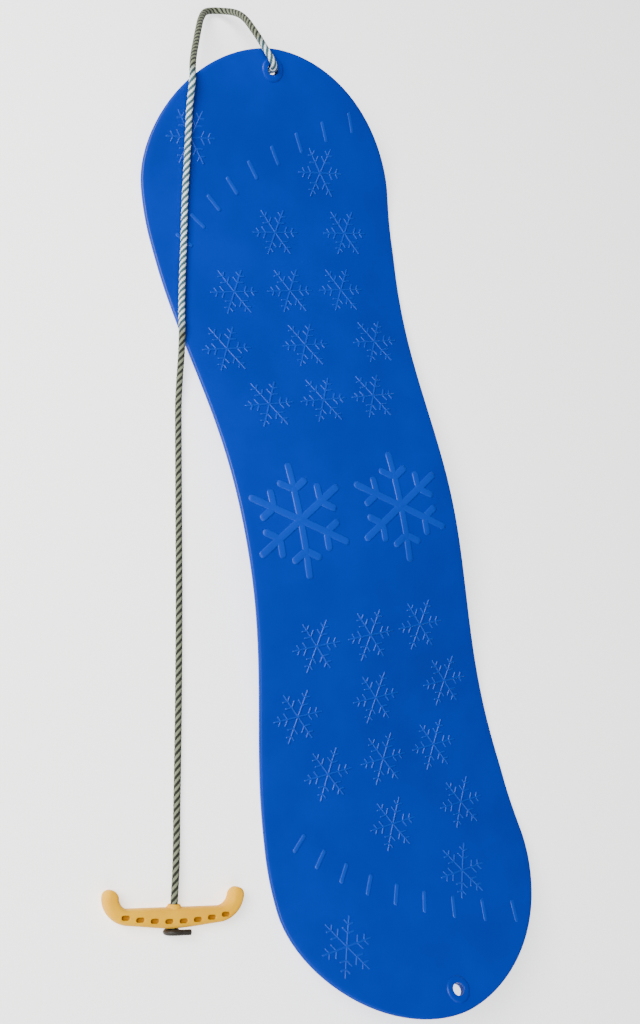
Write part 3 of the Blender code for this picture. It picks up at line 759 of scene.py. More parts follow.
@dataclass
class Relief:
    """Raised lines on the deck: bars with round ends and a rounded top that follow the deck's curve."""

    form: BoardForm
    sink: float = 0.0008
    shoulder: float = 0.0011
    along: int = 9
    end_steps: int = 4
    shoulder_steps: int = 4
    crease_degrees: float = 60.0

    def bars(self, name: str, ends: Array, width: float, height: float) -> bpy.types.Object:
        """Make a group of bars.

        Each bar runs straight from its first to its last end point. Its half width shrinks by a circle's
        law over the last half width, so its ends are round. Its section has a foot below the deck, a
        quarter-ellipse shoulder at each side and a level top between them.

        Args:
            name: The piece's name.
            ends: First and last point of each bar in plan, as (bar, end, 2).
            width: Width of the bars.
            height: Height above the deck.

        Returns:
            The object.
        """
        start, span = ends[:, 0], ends[:, 1] - ends[:, 0]
        length = np.linalg.norm(span, axis=-1)
        heading = span / length[:, None]
        side = np.stack([-heading[:, 1], heading[:, 0]], axis=-1)
        half = np.full(len(ends), width / 2)
        turn = np.linspace(0.0, math.pi / 2, self.end_steps + 1)
        near = half[:, None] * (1.0 - np.cos(turn))[None]
        closing = np.sin(turn)
        inner = np.linspace(0.0, 1.0, self.along)[None, 1:-1]
        middle = half[:, None] + inner * (length - 2 * half)[:, None]
        distance = np.concatenate([near, middle, length[:, None] - near[:, ::-1]], axis=1)
        fullness = np.concatenate([closing, np.ones(self.along - 2), closing[::-1]])
        lean = np.linspace(0.0, math.pi / 2, self.shoulder_steps + 1)
        shoulder = np.minimum(self.shoulder, half)[:, None]
        flank = half[:, None] - shoulder * (1.0 - np.cos(lean))[None]
        across = np.concatenate([half[:, None], flank, -flank[:, ::-1], -half[:, None]], axis=1)
        climb = height * np.sin(lean)
        lift = np.concatenate([[-self.sink], climb, climb[::-1], [-self.sink]])
        plan = (start[:, None, None] + heading[:, None, None] * distance[..., None, None]
                + side[:, None, None] * (fullness[None, :, None] * across[:, None])[..., None])
        level = -self.sink + (lift + self.sink)[None, None] * np.sqrt(fullness)[None, :, None]
        z = self.form.deck_height(plan[..., 1]) + level
        points = np.concatenate([plan, z[..., None]], axis=-1)
        bars, rows, columns = points.shape[:3]
        one = grid_faces(rows, columns, True)
        faces = (one[None] + (np.arange(bars) * rows * columns)[:, None, None]).reshape(-1, 4)
        return make_mesh(name, points, [faces], sharp_degrees=self.crease_degrees, merge=False)


@dataclass(frozen=True)
class Snowflake:
    """Plan of a six-armed snowflake, as straight bars."""

    size: float
    line: float
    barbs: tuple[tuple[float, float], ...]
    turn: float

    def ends(self) -> Array:
        """End points of the flake's bars round its middle.

        Three bars run right across, 60 degrees apart. At each barb's share of every arm, a pair of short
        bars leaves the arm at 60 degrees towards its tip.

        Returns:
            End points as (bar, end, 2).
        """
        reach = self.size / 2
        arm = self.turn + np.arange(6) * math.pi / 3
        way = np.stack([np.cos(arm), np.sin(arm)], axis=-1) * reach
        groups = [np.stack([way[:3], -way[:3]], axis=1)]
        for place, length in self.barbs:
            for lean in (math.pi / 3, -math.pi / 3):
                branch = np.stack([np.cos(arm + lean), np.sin(arm + lean)], axis=-1) * reach * length
                groups.append(np.stack([way * place, way * place + branch], axis=1))
        return np.concatenate(groups)


@dataclass
class DeckOrnament:
    """All the raised ornament of the deck: large and small snowflakes and the grip ribs.

    Places are shares of the half width and the half length. A row of small snowflakes has its share along
    the board first, then its shares across. Both ends of the board have the same rows and ribs.
    """

    form: BoardForm
    height: float = 0.001
    large: Snowflake = Snowflake(0.110, 0.0075, ((0.52, 0.33),), math.pi / 2)
    large_shares: tuple[tuple[float, float], ...] = ((-0.513, 0.002), (0.453, 0.002))
    small: Snowflake = Snowflake(0.052, 0.0022, ((0.42, 0.28), (0.70, 0.22)), 0.0)
    small_rows: tuple[tuple[float, tuple[float, ...]], ...] = (
        (0.251, (-0.501, 0.0, 0.484)), (0.380, (-0.687, 0.0, 0.655)), (0.507, (-0.469, 0.0, 0.454)),
        (0.640, (-0.022, 0.571)), (0.769, (0.405,)), (0.824, (-0.680,)))
    rib_length: float = 0.020
    rib_width: float = 0.0045
    rib_count: int = 9
    rib_arc: tuple[tuple[float, float], ...] = ((-0.755, 0.621), (-0.159, 0.769), (0.796, 0.872))

    def scatter(self, flake: Snowflake, places: list[tuple[float, float]]) -> Array:
        """Repeat a flake's bars round middles in plan."""
        ends = flake.ends()
        return (ends[None] + np.array(places)[:, None, None]).reshape(-1, 2, 2)

    def rib_ends(self, end: End) -> Array:
        """End points of one end's grip ribs, square to an arc through three points.

        The arc is a parabola: the square of the rest times the start, plus twice the product times the
        control point, plus the square of the share times the end.

        Args:
            end: The end of the board.

        Returns:
            End points as (rib, end, 2).
        """
        start, middle, last = (np.array(self.form.place(*shares)) for shares in self.rib_arc)
        control = 2 * middle - (start + last) / 2
        t = np.linspace(0.0, 1.0, self.rib_count)[:, None]
        point = (1 - t) ** 2 * start + 2 * t * (1 - t) * control + t * t * last
        heading = unit(2 * (1 - t) * (control - start) + 2 * t * (last - control))
        across = np.stack([-heading[:, 1], heading[:, 0]], axis=-1) * self.rib_length / 2
        ends = np.stack([point - across, point + across], axis=1)
        return ends * np.array([1.0, float(end.value)])

    def build(self) -> list[bpy.types.Object]:
        """Make the ornament.

        Returns:
            The pieces.
        """
        relief = Relief(self.form)
        large = self.scatter(self.large, [self.form.place(*shares) for shares in self.large_shares])
        pieces = [relief.bars("large_snowflakes", large, self.large.line, self.height)]
        for end in End:
            name = end.name.lower()
            places = [self.form.place(x, end.value * y) for y, row in self.small_rows for x in row]
            small = self.scatter(self.small, places)
            pieces.append(relief.bars(name + "_snowflakes", small, self.small.line, self.height))
            pieces.append(relief.bars(name + "_grip_ribs", self.rib_ends(end), self.rib_width, self.height))
        for piece in pieces:
            dress(piece, BLUE_RELIEF_PAINTED_HIGHLIGHT, Body.BOARD)
        return pieces


@dataclass
class Braid:
    """A braided round cord carried along a path, its strands modelled as a wavy skin."""

    diameter: float
    strands: int = 6
    lead: float = 0.020
    relief: float = 0.00046
    yarn_share: float = 0.28
    yarn_fullness: float = 0.6
    valley: float = 0.45
    sides: int = 56
    step: float = 0.0006
    seal_and_shade_length: float = 0.0
    seal_and_shade_steepness: float = 1.6
    crease_degrees: float = 75.0

    def resample(self, path: Array) -> Array:
        """Read a path again at an even step.

        Args:
            path: Points along the path.

        Returns:
            Points a step apart.
        """
        gap = np.linalg.norm(np.diff(path, axis=0), axis=1)
        along = np.concatenate([[0.0], np.cumsum(gap)])
        wanted = np.linspace(0.0, along[-1], max(8, round(along[-1] / self.step)))
        return np.stack([np.interp(wanted, along, path[:, axis]) for axis in range(3)], axis=1)

    def frames(self, path: Array) -> tuple[Array, Array]:
        """Two directions square to the path at each point, that don't twist about it.

        They start from the cross product with the world direction that stays farthest from every tangent,
        and are turned back by the running sum of the twist that this gives.

        Args:
            path: Points along the path.

        Returns:
            The two directions.
        """
        tangent = unit(np.gradient(path, axis=0))
        grid = np.stack(np.meshgrid(*[(-1.0, -0.5, 0.0, 0.5, 1.0)] * 3), axis=-1).reshape(-1, 3)
        options = unit(grid[np.linalg.norm(grid, axis=1) > 0.1])
        worst = np.abs(tangent @ options.T).max(axis=0)
        across = unit(np.cross(tangent, options[worst.argmin()]))
        other = np.cross(tangent, across)
        twist = np.einsum("ij,ij->i", np.diff(across, axis=0), (other[1:] + other[:-1]) / 2)
        back = -np.concatenate([[0.0], np.cumsum(twist)])[:, None]
        return (across * np.cos(back) + other * np.sin(back), other * np.cos(back) - across * np.sin(back))

    def strand_pattern(self, around: Array, along: Array) -> tuple[Array, Array]:
        """Height and tracer mark of the braid's skin.

        Two families of strands wind opposite ways: their numbers are the strand count times the share of
        the turn, plus or less the share of the lead. In each crossing cell the family on top takes turns.
        The top strand's height is an arch across it, with a furrow between its two yarns, times an arch
        along it. Every other strand of both families is a tracer.

        Args:
            around: Angles round the cord, from 0 to 1.
            along: Distances along it.

        Returns:
            Heights from 0 to 1, and 1 where a tracer strand is on top.
        """
        left = self.strands * (around + along / self.lead)
        right = self.strands * (around - along / self.lead)
        cell_left, cell_right = np.floor(left), np.floor(right)
        left_on_top = (cell_left + cell_right) % 2 < 1
        across = np.where(left_on_top, left - cell_left, right - cell_right)
        length = np.where(left_on_top, right - cell_right, left - cell_left)
        strand = np.sqrt(np.clip(1.0 - (2 * across - 1) ** 2, 0.0, 1.0))
        yarn = np.abs(np.sin(2.0 * np.pi * across)) ** self.yarn_fullness
        profile = (1.0 - self.yarn_share) * strand + self.yarn_share * yarn
        height = profile * (self.valley + (1.0 - self.valley) * np.sin(np.pi * length))
        tracer = np.where(left_on_top, cell_left, cell_right) % 2 < 1
        return height, tracer.astype(float)

    def build(self, name: str, path: Array,
              outside_darkening: Callable[[Array], Array] | None = None) -> tuple[bpy.types.Object, Array]:
        """Make the cord.

        A skin point is its path point, plus the radius times the turned directions. The radius is the
        cord's less the relief where the skin is low, and it closes to nothing at both ends. With a length to
        darken, the last stretch of that length is marked near black: the heat-sealed end, and painted shade
        where it covers the rest of a knot.

        Args:
            name: The piece's name.
            path: Points along the cord.
            outside_darkening: Tells for points of the path how far the strands take their darker colours,
                from 0 to 1; None means wholly.

        Returns:
            The object and the path that it follows.
        """
        line = self.resample(path)
        first, second = self.frames(line)
        along = np.arange(len(line))[:, None] * self.step
        around = (np.arange(self.sides) / self.sides)[None]
        height, tracer = self.strand_pattern(around + 0.0 * along, along + 0.0 * around)
        left = along[-1, 0] - along
        sealed_and_shaded = 0.0 * along
        # The darkened stretch: the heat-sealed end, and painted shade where it covers the rest of a knot.
        if self.seal_and_shade_length:
            sealed_and_shaded = smooth_step(self.seal_and_shade_steepness * (1.0 - left / self.seal_and_shade_length))
        darkened_outside = np.ones(len(line)) if outside_darkening is None else outside_darkening(line)
        radius = self.diameter / 2 - self.relief * (1.0 - height)
        angle = 2.0 * np.pi * around
        skin = (line[:, None] + radius[..., None] * (first[:, None] * np.cos(angle)[..., None]
                                                     + second[:, None] * np.sin(angle)[..., None]))
        rows = np.concatenate([line[:1, None] + 0.0 * skin[:1], skin, line[-1:, None] + 0.0 * skin[-1:]])
        marks = {"strand_height": height, "tracer": tracer, "darkened_outside": darkened_outside[:, None], "sealed_and_shaded": sealed_and_shaded}
        readings = {key: np.pad(values + 0.0 * around, ((1, 1), (0, 0)), mode="edge")
                    for key, values in marks.items()}
        faces = [grid_faces(len(rows), self.sides, True)]
        return make_mesh(name, rows, faces, readings, self.crease_degrees), line


def smooth_route(points: list[Vector], steps: int = 16) -> Array:
    """Read a smooth curve through chosen points.

    Between two points the curve is a centripetal spline: values at square roots of the chords, blended
    pair by pair three times over.

    Args:
        points: The points.
        steps: Readings between two points.

    Returns:
        Points along the curve.
    """
    route = np.array([tuple(point) for point in points])
    padded = np.concatenate([2 * route[:1] - route[1:2], route, 2 * route[-1:] - route[-2:-1]])
    a, b, c, d = (padded[k:len(padded) - 3 + k, None] for k in range(4))
    chord = [np.sqrt(np.linalg.norm(q - p, axis=-1, keepdims=True)) for p, q in ((a, b), (b, c), (c, d))]
    t_a = 0.0 * chord[0]
    t_b = chord[0]
    t_c = t_b + chord[1]
    t_d = t_c + chord[2]
    t = t_b + np.linspace(0.0, 1.0, steps, endpoint=False)[None, :, None] * (t_c - t_b)

    def between(first: Array, last: Array, low: Array, high: Array) -> Array:
        """Blend two rows of points by where t lies between two values."""
        share = (t - low) / (high - low)
        return first * (1 - share) + last * share

    ab, bc, cd = between(a, b, t_a, t_b), between(b, c, t_b, t_c), between(c, d, t_c, t_d)
    curve = between(between(ab, bc, t_a, t_c), between(bc, cd, t_b, t_d), t_b, t_c)
    return np.concatenate([curve.reshape(-1, 3), route[-1:]])


@dataclass
class HandleForm:
    """Sizes and place of the pull handle, as in the frame's own solid, with slightly deeper pockets."""

    width: float = 0.125
    reach: float = 0.0315
    thickness: float = 0.0165
    bar_depth: float = 0.0165
    horn_width: float = 0.0125
    bend_radius: float = 0.016
    bend_angle: float = math.radians(100)
    bore: float = 0.008
    collar_diameter: float = 0.013
    collar_height: float = 0.0025
    pocket_count: int = 8
    pocket_pitch: float = 0.0127
    pocket_length: float = 0.0072
    pocket_width: float = 0.0038
    pocket_depth: float = 0.0030
    pocket_edge: float = 0.0062
    pocket_bow: float = 0.0080
    distance: float = 0.0944
    along_share: float = -0.6775
    turn: float = math.radians(-14.8)

    def frame(self, board: BoardForm) -> Matrix:
        """Placing beside the board, flat on the floor: the bar along X, the bore along Y."""
        spot = board.beside(self.distance, self.along_share, self.thickness / 2)
        return Matrix.Translation(spot) @ Matrix.Rotation(self.turn, 4, "Z")


@dataclass
class PullRope:
    """The braided rope from the nose hole to the handle, with the stopper knot at each end.

    Its lists of points hold shares. Those of the loop are as over_tip takes them. Those of the crossing are
    shares of the board's half width and half length. Those beside the board are a share of the handle's
    distance, a share of the half length and a rise in rope diameters.
    """

    form: BoardForm
    handle: HandleForm
    diameter: float = 0.0065
    knot_diameter: float = 0.0050
    relief: float = 0.001
    seat_gap: float = 0.0003
    rest_gap: float = 0.0004
    strand_gap: float = 0.0007
    straight: float = 0.026
    hole_lean: Triple = (-0.15, 0.06, 1.20)
    loop_reach: float = 0.087
    knot_tail: float = 0.014
    knot_start: Triple = (-0.02, 0.18, 0.38)
    knot_swell: float = 0.10
    knot_lead: float = 0.016
    knot_step: float = 0.0005
    knot_seal_and_shade_length: float = 0.080
    outside_blend_reach: int = 24
    on_rope: list[bpy.types.Object] = field(default_factory=list)
    loop: tuple[tuple[float, float, float], ...] = (
        (-0.055, -0.003, 1.226), (-0.113, 0.061, 1.302), (-0.159, 0.167, 1.296), (-0.182, 0.297, 1.226),
        (-0.184, 0.446, 1.086), (-0.169, 0.610, 0.890), (-0.157, 0.754, 0.663), (-0.159, 0.875, 0.407),
        (-0.191, 0.964, 0.171), (-0.280, 1.000, 0.051), (-0.405, 0.948, 0.115), (-0.533, 0.801, 0.287),
        (-0.660, 0.595, 0.497), (-0.795, 0.348, 0.707), (-0.920, 0.118, 0.910), (-1.000, -0.054, 1.042),
        (-1.030, -0.203, 1.036))
    crossing: tuple[tuple[float, float], ...] = (
        (-0.793, 0.874), (-0.725, 0.832), (-0.689, 0.765), (-0.714, 0.6995), (-0.779, 0.614),
        (-0.871, 0.531), (-0.959, 0.461), (-1.009, 0.422))
    beside: tuple[tuple[float, float, float], ...] = (
        (0.075, 0.380, 1.51), (0.149, 0.328, 0.75), (0.213, 0.280, 0.18), (0.271, 0.232, 0.0),
        (0.433, 0.083, 0.0), (0.612, -0.109, 0.0), (0.754, -0.295, 0.0), (0.824, -0.428, 0.0),
        (0.860, -0.5005, 0.09), (0.886, -0.545, 0.34))

    def floor_level(self) -> float:
        """Height of the rope's middle where it lies on the floor."""
        return self.diameter / 2 + self.rest_gap

    def route(self) -> list[Vector]:
        """Points that the rope passes: out of the hole, over the tip, across the nose and along the floor.

        Returns:
            The points, from the board's base to the far side of the handle's bar.
        """
        hole = self.form.hole_frame(End.NOSE)
        half_board = self.form.thickness / 2
        mouth = [Vector((0.0, 0.0, -half_board)), Vector((0.0, 0.0, half_board))]
        start = [hole @ point for point in (*mouth, Vector(self.hole_lean) * self.diameter)]
        over_deck = self.relief + self.seat_gap + self.diameter / 2
        nose = [self.form.above(across, along, over_deck) for across, along in self.crossing]
        level = self.floor_level()
        side = [self.form.beside(share * self.handle.distance, along, level + rise * self.diameter)
                for share, along, rise in self.beside]
        half_bar = self.handle.bar_depth / 2
        frame = self.handle.frame(self.form)
        front = [half_bar + self.straight * share for share in (1.0, 0.5, 0.0)]
        bore = [frame @ Vector((0.0, y, 0.0)) for y in (*front, -half_bar - self.seat_gap)]
        return start + [self.over_tip(*point) for point in self.loop] + nose + side + bore

    def over_tip(self, across: float, beyond: float, share: float) -> Vector:
        """Point of the loop over the nose.

        Args:
            across: Its x as a share of the loop's reach.
            beyond: Its distance from the nose hole along the board, as a share of the loop's reach.
            share: Its height as a share of the hole's.

        Returns:
            The point.
        """
        y = self.form.hole_distance(End.NOSE)
        level = self.floor_level()
        height = level + share * (float(self.form.deck_height(y)) - level)
        return Vector((across * self.loop_reach, y + beyond * self.loop_reach, height))

    def knot_path(self, frame: Matrix) -> Array:
        """Centre line of a stopper knot, flat under its frame's origin, where the rope ends.

        A strand crosses under the rope's end to +X and turns through three quarters of a circle, one
        strand and a gap from the middle and a little wider at first. Its tail runs on to +X.

        Args:
            frame: The knot's placing.

        Returns:
            Points along the path.
        """
        depth = -self.knot_diameter / 2
        core = self.knot_diameter + self.strand_gap
        route = [Vector((share * core, 0.0, depth)) for share in self.knot_start]
        for step in range(1, 10):
            angle = math.radians(30 * step)
            radius = core * (1.0 + self.knot_swell * max(0.0, math.sin(2 * angle)) * (step < 3))
            route.append(Vector((radius * math.cos(angle), radius * math.sin(angle), depth)))
        route += [route[-1] + Vector((self.knot_tail * share, 0.0, 0.0)) for share in (0.5, 1.0)]
        return smooth_route([frame @ point for point in route])

    def outside_board_share(self, line: Array) -> Array:
        """How far the rope's strands take darker colours: not at all over the board, fully beyond its
        outline.

        The change is softened by a running mean of 0 and 1.

        Args:
            line: Points along the rope.

        Returns:
            A number from 0 to 1 for each point.
        """
        beyond = np.abs(line[:, 0]) - self.form.half_width(np.clip(line[:, 1], None, self.form.length / 2))
        outside = (beyond > 0.0) | (line[:, 1] > self.form.length / 2)
        padded = np.pad(outside.astype(float), self.outside_blend_reach // 2, mode="edge")
        count = self.outside_blend_reach + 1
        return np.convolve(padded, np.full(count, 1.0 / count), mode="valid")

    def build(self) -> list[bpy.types.Object]:
        """Returns:
            The pieces.
        """
        rope, line = Braid(self.diameter).build("braided_rope", smooth_route(self.route()), self.outside_board_share)
        dress(rope, ROPE_BRAID, Body.BOARD)
        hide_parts("pull_rope")
        half_board = self.form.thickness / 2
        below = self.form.hole_frame(End.NOSE) @ Matrix.Translation((0.0, 0.0, -half_board - self.seat_gap))
        seat = Matrix.Translation((0.0, 0.0, -self.handle.bar_depth / 2 - 2 * self.seat_gap))
        behind = self.handle.frame(self.form) @ Matrix.Rotation(math.radians(-90), 4, "X") @ seat
        knots = []
        for name, node, frame in (("nose_stopper_knot", "nose_knot", below),
                                  ("handle_stopper_knot", "handle_knot", behind)):
            # Each knot is darkened over its whole length: its sealed end, and painted shade on the rest.
            braid = Braid(self.knot_diameter, lead=self.knot_lead, step=self.knot_step,
                          seal_and_shade_length=self.knot_seal_and_shade_length)
            knot, _ = braid.build(name, self.knot_path(frame))
            dress(knot, ROPE_BRAID, Body.BOARD)
            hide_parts(node)
            knots.append(knot)
        line[::8].tolist() + [line[-1].tolist()]
        knots + self.on_rope
        return [rope, *knots]


@dataclass
class PullHandle:
    """The moulded handle with its horns, pockets, bore and collar."""

    form: HandleForm
    board: BoardForm
    rings: int = 360
    sides: int = 112
    roundness: float = 0.62
    tip_thickness: float = 0.0058
    seam_height: float = 0.00012
    seam_width: float = 0.0004
    bore_sides: int = 64
    pocket_corner: float = 0.0008
    pocket_flare: float = 0.0004
    collar_lip: float = 0.0006
    collar_root: float = 0.002
    collar_wall: float = 0.0004
    collar_shoulder: float = 0.0010
    crease_degrees: float = 50.0

    def centre_line(self) -> tuple[Array, Array, Array, Array, Array]:
        """Follow the handle from its left horn's tip to its right horn's tip.

        From the middle the line runs straight, bends a little past square and runs up a horn. The depth
        swells towards the middle by an eased step, on the far side only, and everything closes by a
        circle's law at the tips.

        Returns:
            Places along X and Y, headings, depths, and how closed each ring is.
        """
        form = self.form
        bar_half = form.width / 2 - form.horn_width / 2 - form.bend_radius
        arc = form.bend_radius * form.bend_angle
        bend_rise = form.bend_radius * (1.0 - math.cos(form.bend_angle))
        horn = (form.reach - form.bar_depth + form.horn_width / 2 - bend_rise) / math.sin(form.bend_angle)
        total = bar_half + arc + horn
        tip = form.horn_width / 2
        closing_steps = 22
        ends = total - tip + tip * np.sin(np.linspace(0.0, math.pi / 2, closing_steps))
        inner = np.linspace(0.0, total - tip, self.rings // 2 - closing_steps)[:-1]
        distance = np.concatenate([inner, ends])
        swell = smooth_step(1.0 - distance / (bar_half + 0.5 * arc))
        depth = form.horn_width + (form.bar_depth - form.horn_width) * swell
        closing = np.sqrt(np.clip(1.0 - (np.clip(distance - total + tip, 0.0, None) / tip) ** 2, 0.0, 1.0))
        bend = np.clip(distance - bar_half, 0.0, arc) / form.bend_radius
        past = np.clip(distance - bar_half - arc, 0.0, None)
        x = np.minimum(distance, bar_half) + form.bend_radius * np.sin(bend) + past * np.cos(bend)
        y = form.bend_radius * (1.0 - np.cos(bend)) + past * np.sin(bend)
        y = y + (form.bar_depth - depth) / 2
        mirrored = [np.concatenate([sign * part[:0:-1], part]) for part, sign in
                    ((x, -1.0), (y, 1.0), (bend, -1.0), (depth * closing, 1.0), (closing, 1.0))]
        return tuple(mirrored)

    def section(self) -> tuple[Array, Array]:
        """Evenly spaced points of the section, a rounded square two units wide.

        Cosine and sine of a fine row of angles are raised to the roundness. The row is read again at even
        distances along the outline.

        Returns:
            Places across and up.
        """
        angle = np.linspace(0.0, 2.0 * np.pi, 4001)
        fine = [np.sign(part) * np.abs(part) ** self.roundness for part in (np.cos(angle), np.sin(angle))]
        along = np.concatenate([[0.0], np.cumsum(np.hypot(*np.diff(fine, axis=1)))])
        wanted = along[-1] * np.arange(self.sides) / self.sides
        return np.interp(wanted, along, fine[0]), np.interp(wanted, along, fine[1])

    def surface(self) -> Array:
        """Points of the handle in its own frame.

        A section is the rounded square times half the depth and half the thickness, with a fine seam
        round its middle height where the mould's halves met: a bell curve of the height.

        Returns:
            Points on (ring, place in the ring).
        """
        form = self.form
        x, y, heading, depth, closing = (part[:, None] for part in self.centre_line())
        wide, high = self.section()
        across = wide[None] * depth / 2
        up = high[None] * form.thickness / 2
        share = self.tip_thickness / form.thickness
        up = up * (share + (1.0 - share) * closing)
        seam = self.seam_height * np.exp(-(up / self.seam_width) ** 2) * closing
        side = across + np.sign(across) * seam
        return np.stack([x - side * np.sin(heading), y + side * np.cos(heading), up], axis=-1)

    def pocket_middles(self) -> Array:
        """Middles of the pockets in the handle's own frame, on a row that bows towards the horns.

        Returns:
            Places along X and Y.
        """
        form = self.form
        x = (np.arange(form.pocket_count) - (form.pocket_count - 1) / 2) * form.pocket_pitch
        y = -form.bar_depth / 2 + form.pocket_edge + form.pocket_bow * (2 * x / form.width) ** 2
        return np.stack([x, y], axis=-1)

    def pocket_cutter(self) -> Array:
        """Points of the solids that hollow the pockets out, in the handle's own frame.

        An oval is two half circles on a straight run. From the floor up, the oval widens round a small
        corner, rises straight and flares out through the upper face.

        Returns:
            Points on (pocket, level, place round the oval).
        """
        form = self.form
        steps = 48
        angle = 2.0 * np.pi * (np.arange(steps) + 0.5) / steps
        turn = np.linspace(0.0, math.pi / 2, 5)
        corner, flare, top = self.pocket_corner, self.pocket_flare, form.thickness / 2
        growth = np.concatenate([-corner * (1.0 - np.sin(turn)), [0.0, 0.5 * flare, 2.5 * flare]])
        level = np.concatenate([top - form.pocket_depth + corner * (1.0 - np.cos(turn)),
                                [top - 1.6 * flare, top - 0.7 * flare, top + 1.3 * flare]])
        reach = form.pocket_width / 2 + growth[:, None]
        run = (form.pocket_length - form.pocket_width) / 2
        x = reach * np.cos(angle) + run * np.sign(np.cos(angle))
        plan = np.stack([x, reach * np.sin(angle), level[:, None] + 0.0 * x], axis=-1)
        middles = np.pad(self.pocket_middles(), ((0, 0), (0, 1)))
        return plan[None] + middles[:, None, None]

    def hollows(self, local: Array) -> Array:
        """How deep in a pocket points of the handle lie, which sets the pockets' painted shade: an eased
        step of the depth below the upper face.

        Args:
            local: Points in the handle's own frame.

        Returns:
            0 outside and at the rims, 1 on the floors.
        """
        form = self.form
        off = np.abs(local[:, None, :2] - self.pocket_middles()[None])
        margin = 0.001
        reach = np.array([form.pocket_length, form.pocket_width]) / 2 + margin
        inside = (off < reach).all(axis=-1).any(axis=-1)
        sunk = (form.thickness / 2 - local[:, 2]) / form.pocket_depth
        return smooth_step(1.3 * sunk) * inside * (sunk < 1.1)

    def build(self) -> list[bpy.types.Object]:
        """Make the handle and its collar.

        Returns:
            The pieces.
        """
        form = self.form
        frame = form.frame(self.board)
        rings = moved(self.surface(), frame)
        body = make_mesh("moulded_handle", rings, [grid_faces(len(rings), self.sides, True)],
                         sharp_degrees=self.crease_degrees)
        along_bore = frame @ Matrix.Rotation(math.radians(-90), 4, "X")
        cut_with(body, plug("bore_cutter", form.bore / 2, form.bar_depth, self.bore_sides, along_bore))
        ovals = moved(self.pocket_cutter(), frame)
        levels, steps = ovals.shape[1:3]
        floor = np.arange(steps)[None, ::-1]
        faces = [grid_faces(levels, steps, True), floor, floor[:, ::-1] + (levels - 1) * steps]
        for oval in ovals:
            cut_with(body, make_mesh("pocket_cutter", oval, faces, merge=False))
        tidy_mesh(body, self.crease_degrees, merge=False)
        points = np.empty(len(body.data.vertices) * 3)
        body.data.vertices.foreach_get("co", points)
        # Painted shade in the pockets, stored by how deep each point lies.
        layer = body.data.attributes.new("hollow", "FLOAT", "POINT")
        layer.data.foreach_set("value", self.hollows(moved(points.reshape(-1, 3), frame.inverted())))
        pieces = [body, self.collar(along_bore)]
        for piece in pieces:
            dress(piece, YELLOW_PLASTIC, Body.HANDLE)
        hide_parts("pull_handle")
        return pieces

    def collar(self, frame: Matrix) -> bpy.types.Object:
        """Make the collar where the rope enters: a low cone with a rounded lip round the bore.

        Args:
            frame: The bore's placing, Z towards the rope.

        Returns:
            The collar.
        """
        form = self.form
        front = form.bar_depth / 2
        root = front - self.collar_root
        inner, outer = form.bore / 2, form.collar_diameter / 2
        lip = self.collar_lip
        top = arc((inner + lip, front + form.collar_height - lip), (lip, lip), 0.0, math.pi, 8)
        foot = np.array([(outer, root), (outer, front + self.collar_wall),
                         (outer - lip, front + self.collar_shoulder)])
        wall = np.array([(inner, root)])
        return turned("rope_collar", np.concatenate([foot, top, wall]), self.bore_sides, frame)


@dataclass(frozen=True)
class Lamp:
    """A square soft light that faces the object's middle."""

    name: str
    spot: Triple
    size: float
    watts: float
    tint: Colour

    def hang(self) -> None:
        """Hang the light in its place."""
        data = bpy.data.lights.new(self.name, "AREA")
        data.size = self.size
        data.energy = self.watts
        data.color = self.tint
        lamp = bpy.data.objects.new(self.name, data)
        spot = Vector(self.spot)
        lamp.matrix_world = Matrix.Translation(spot) @ (-spot).to_track_quat("-Z", "Y").to_matrix().to_4x4()
        bpy.context.scene.collection.objects.link(lamp)


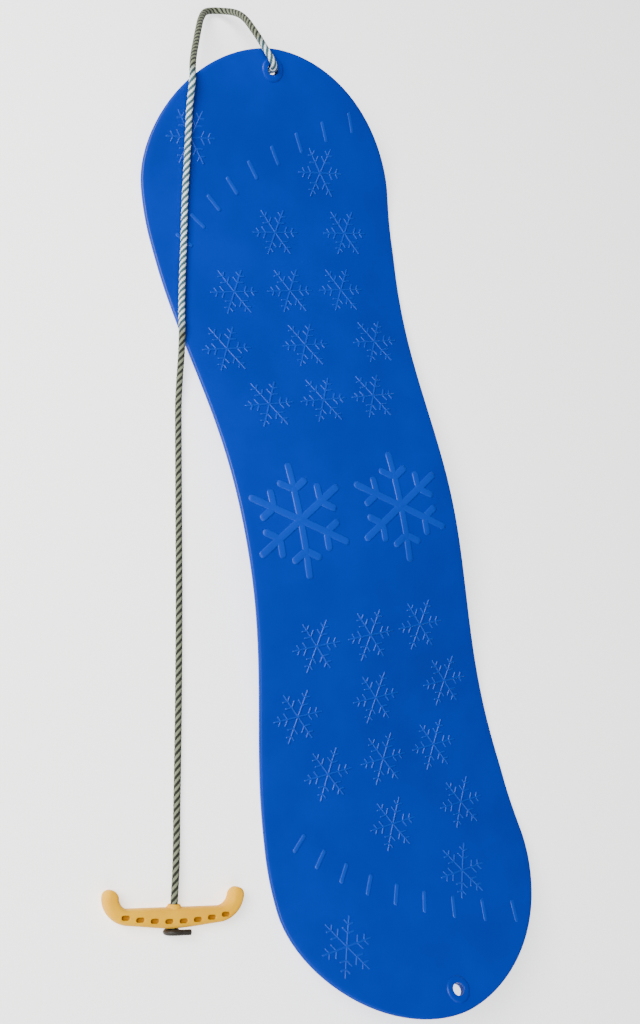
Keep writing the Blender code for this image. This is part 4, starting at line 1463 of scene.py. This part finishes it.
@dataclass
class Studio:
    """Camera at the photograph's viewing angle, soft lights and a pale floor."""

    eye: Triple = (-0.5659, -0.0908, 0.9147)
    forward: Triple = (0.5157, 0.0943, -0.8516)
    up: Triple = (0.1183, 0.9766, 0.1798)
    lens_mm: float = 38.945
    sensor_mm: float = 36.0
    farthest: float = 20.0
    sky: float = 0.16
    floor_reach: float = 6.0
    lamps: tuple[Lamp, ...] = (Lamp("key", (-1.20, 0.50, 1.30), 0.9, 66.0, (1.0, 0.99, 0.97)),
                               Lamp("fill", (-0.9, -1.7, 2.2), 2.0, 45.0, (0.97, 0.99, 1.0)))

    def camera(self) -> None:
        """Place the camera, whose picture is 640 by 1024."""
        data = bpy.data.cameras.new("camera")
        data.sensor_fit = "VERTICAL"
        data.sensor_height = self.sensor_mm
        data.lens = self.lens_mm
        data.clip_end = self.farthest
        camera = bpy.data.objects.new("camera", data)
        back = -Vector(self.forward).normalized()
        right = Vector(self.up).cross(back).normalized()
        upward = back.cross(right)
        turn = Matrix((right, upward, back)).transposed().to_4x4()
        camera.matrix_world = Matrix.Translation(Vector(self.eye)) @ turn
        bpy.context.scene.collection.objects.link(camera)
        bpy.context.scene.camera = camera

    def build(self) -> None:
        """Set up the sky, the floor and the lights."""
        world = bpy.data.worlds.new("studio")
        world.use_nodes = True
        background = world.node_tree.nodes["Background"]
        background.inputs["Color"].default_value = (1.0, 1.0, 1.0, 1.0)
        background.inputs["Strength"].default_value = self.sky
        bpy.context.scene.world = world
        signs = np.array([(-1.0, -1.0, 0.0), (1.0, -1.0, 0.0), (1.0, 1.0, 0.0), (-1.0, 1.0, 0.0)])
        corners = signs * self.floor_reach
        floor = make_mesh("studio_floor", corners, [np.array([[0, 1, 2, 3]])])
        floor.data.materials.append(PALE_FLOOR.material())
        for lamp in self.lamps:
            lamp.hang()


def main() -> None:
    """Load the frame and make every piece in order."""
    logging.basicConfig(level=logging.INFO, format="%(message)s")
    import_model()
    studio = Studio()
    studio.camera()
    board, handle = BoardForm(), HandleForm()
    handle_pieces = PullHandle(handle, board).build()
    PullRope(board, handle, on_rope=handle_pieces).build()
    BoardShell(board).build()
    DeckOrnament(board).build()
    studio.build()


if __name__ == "__main__":
    main()
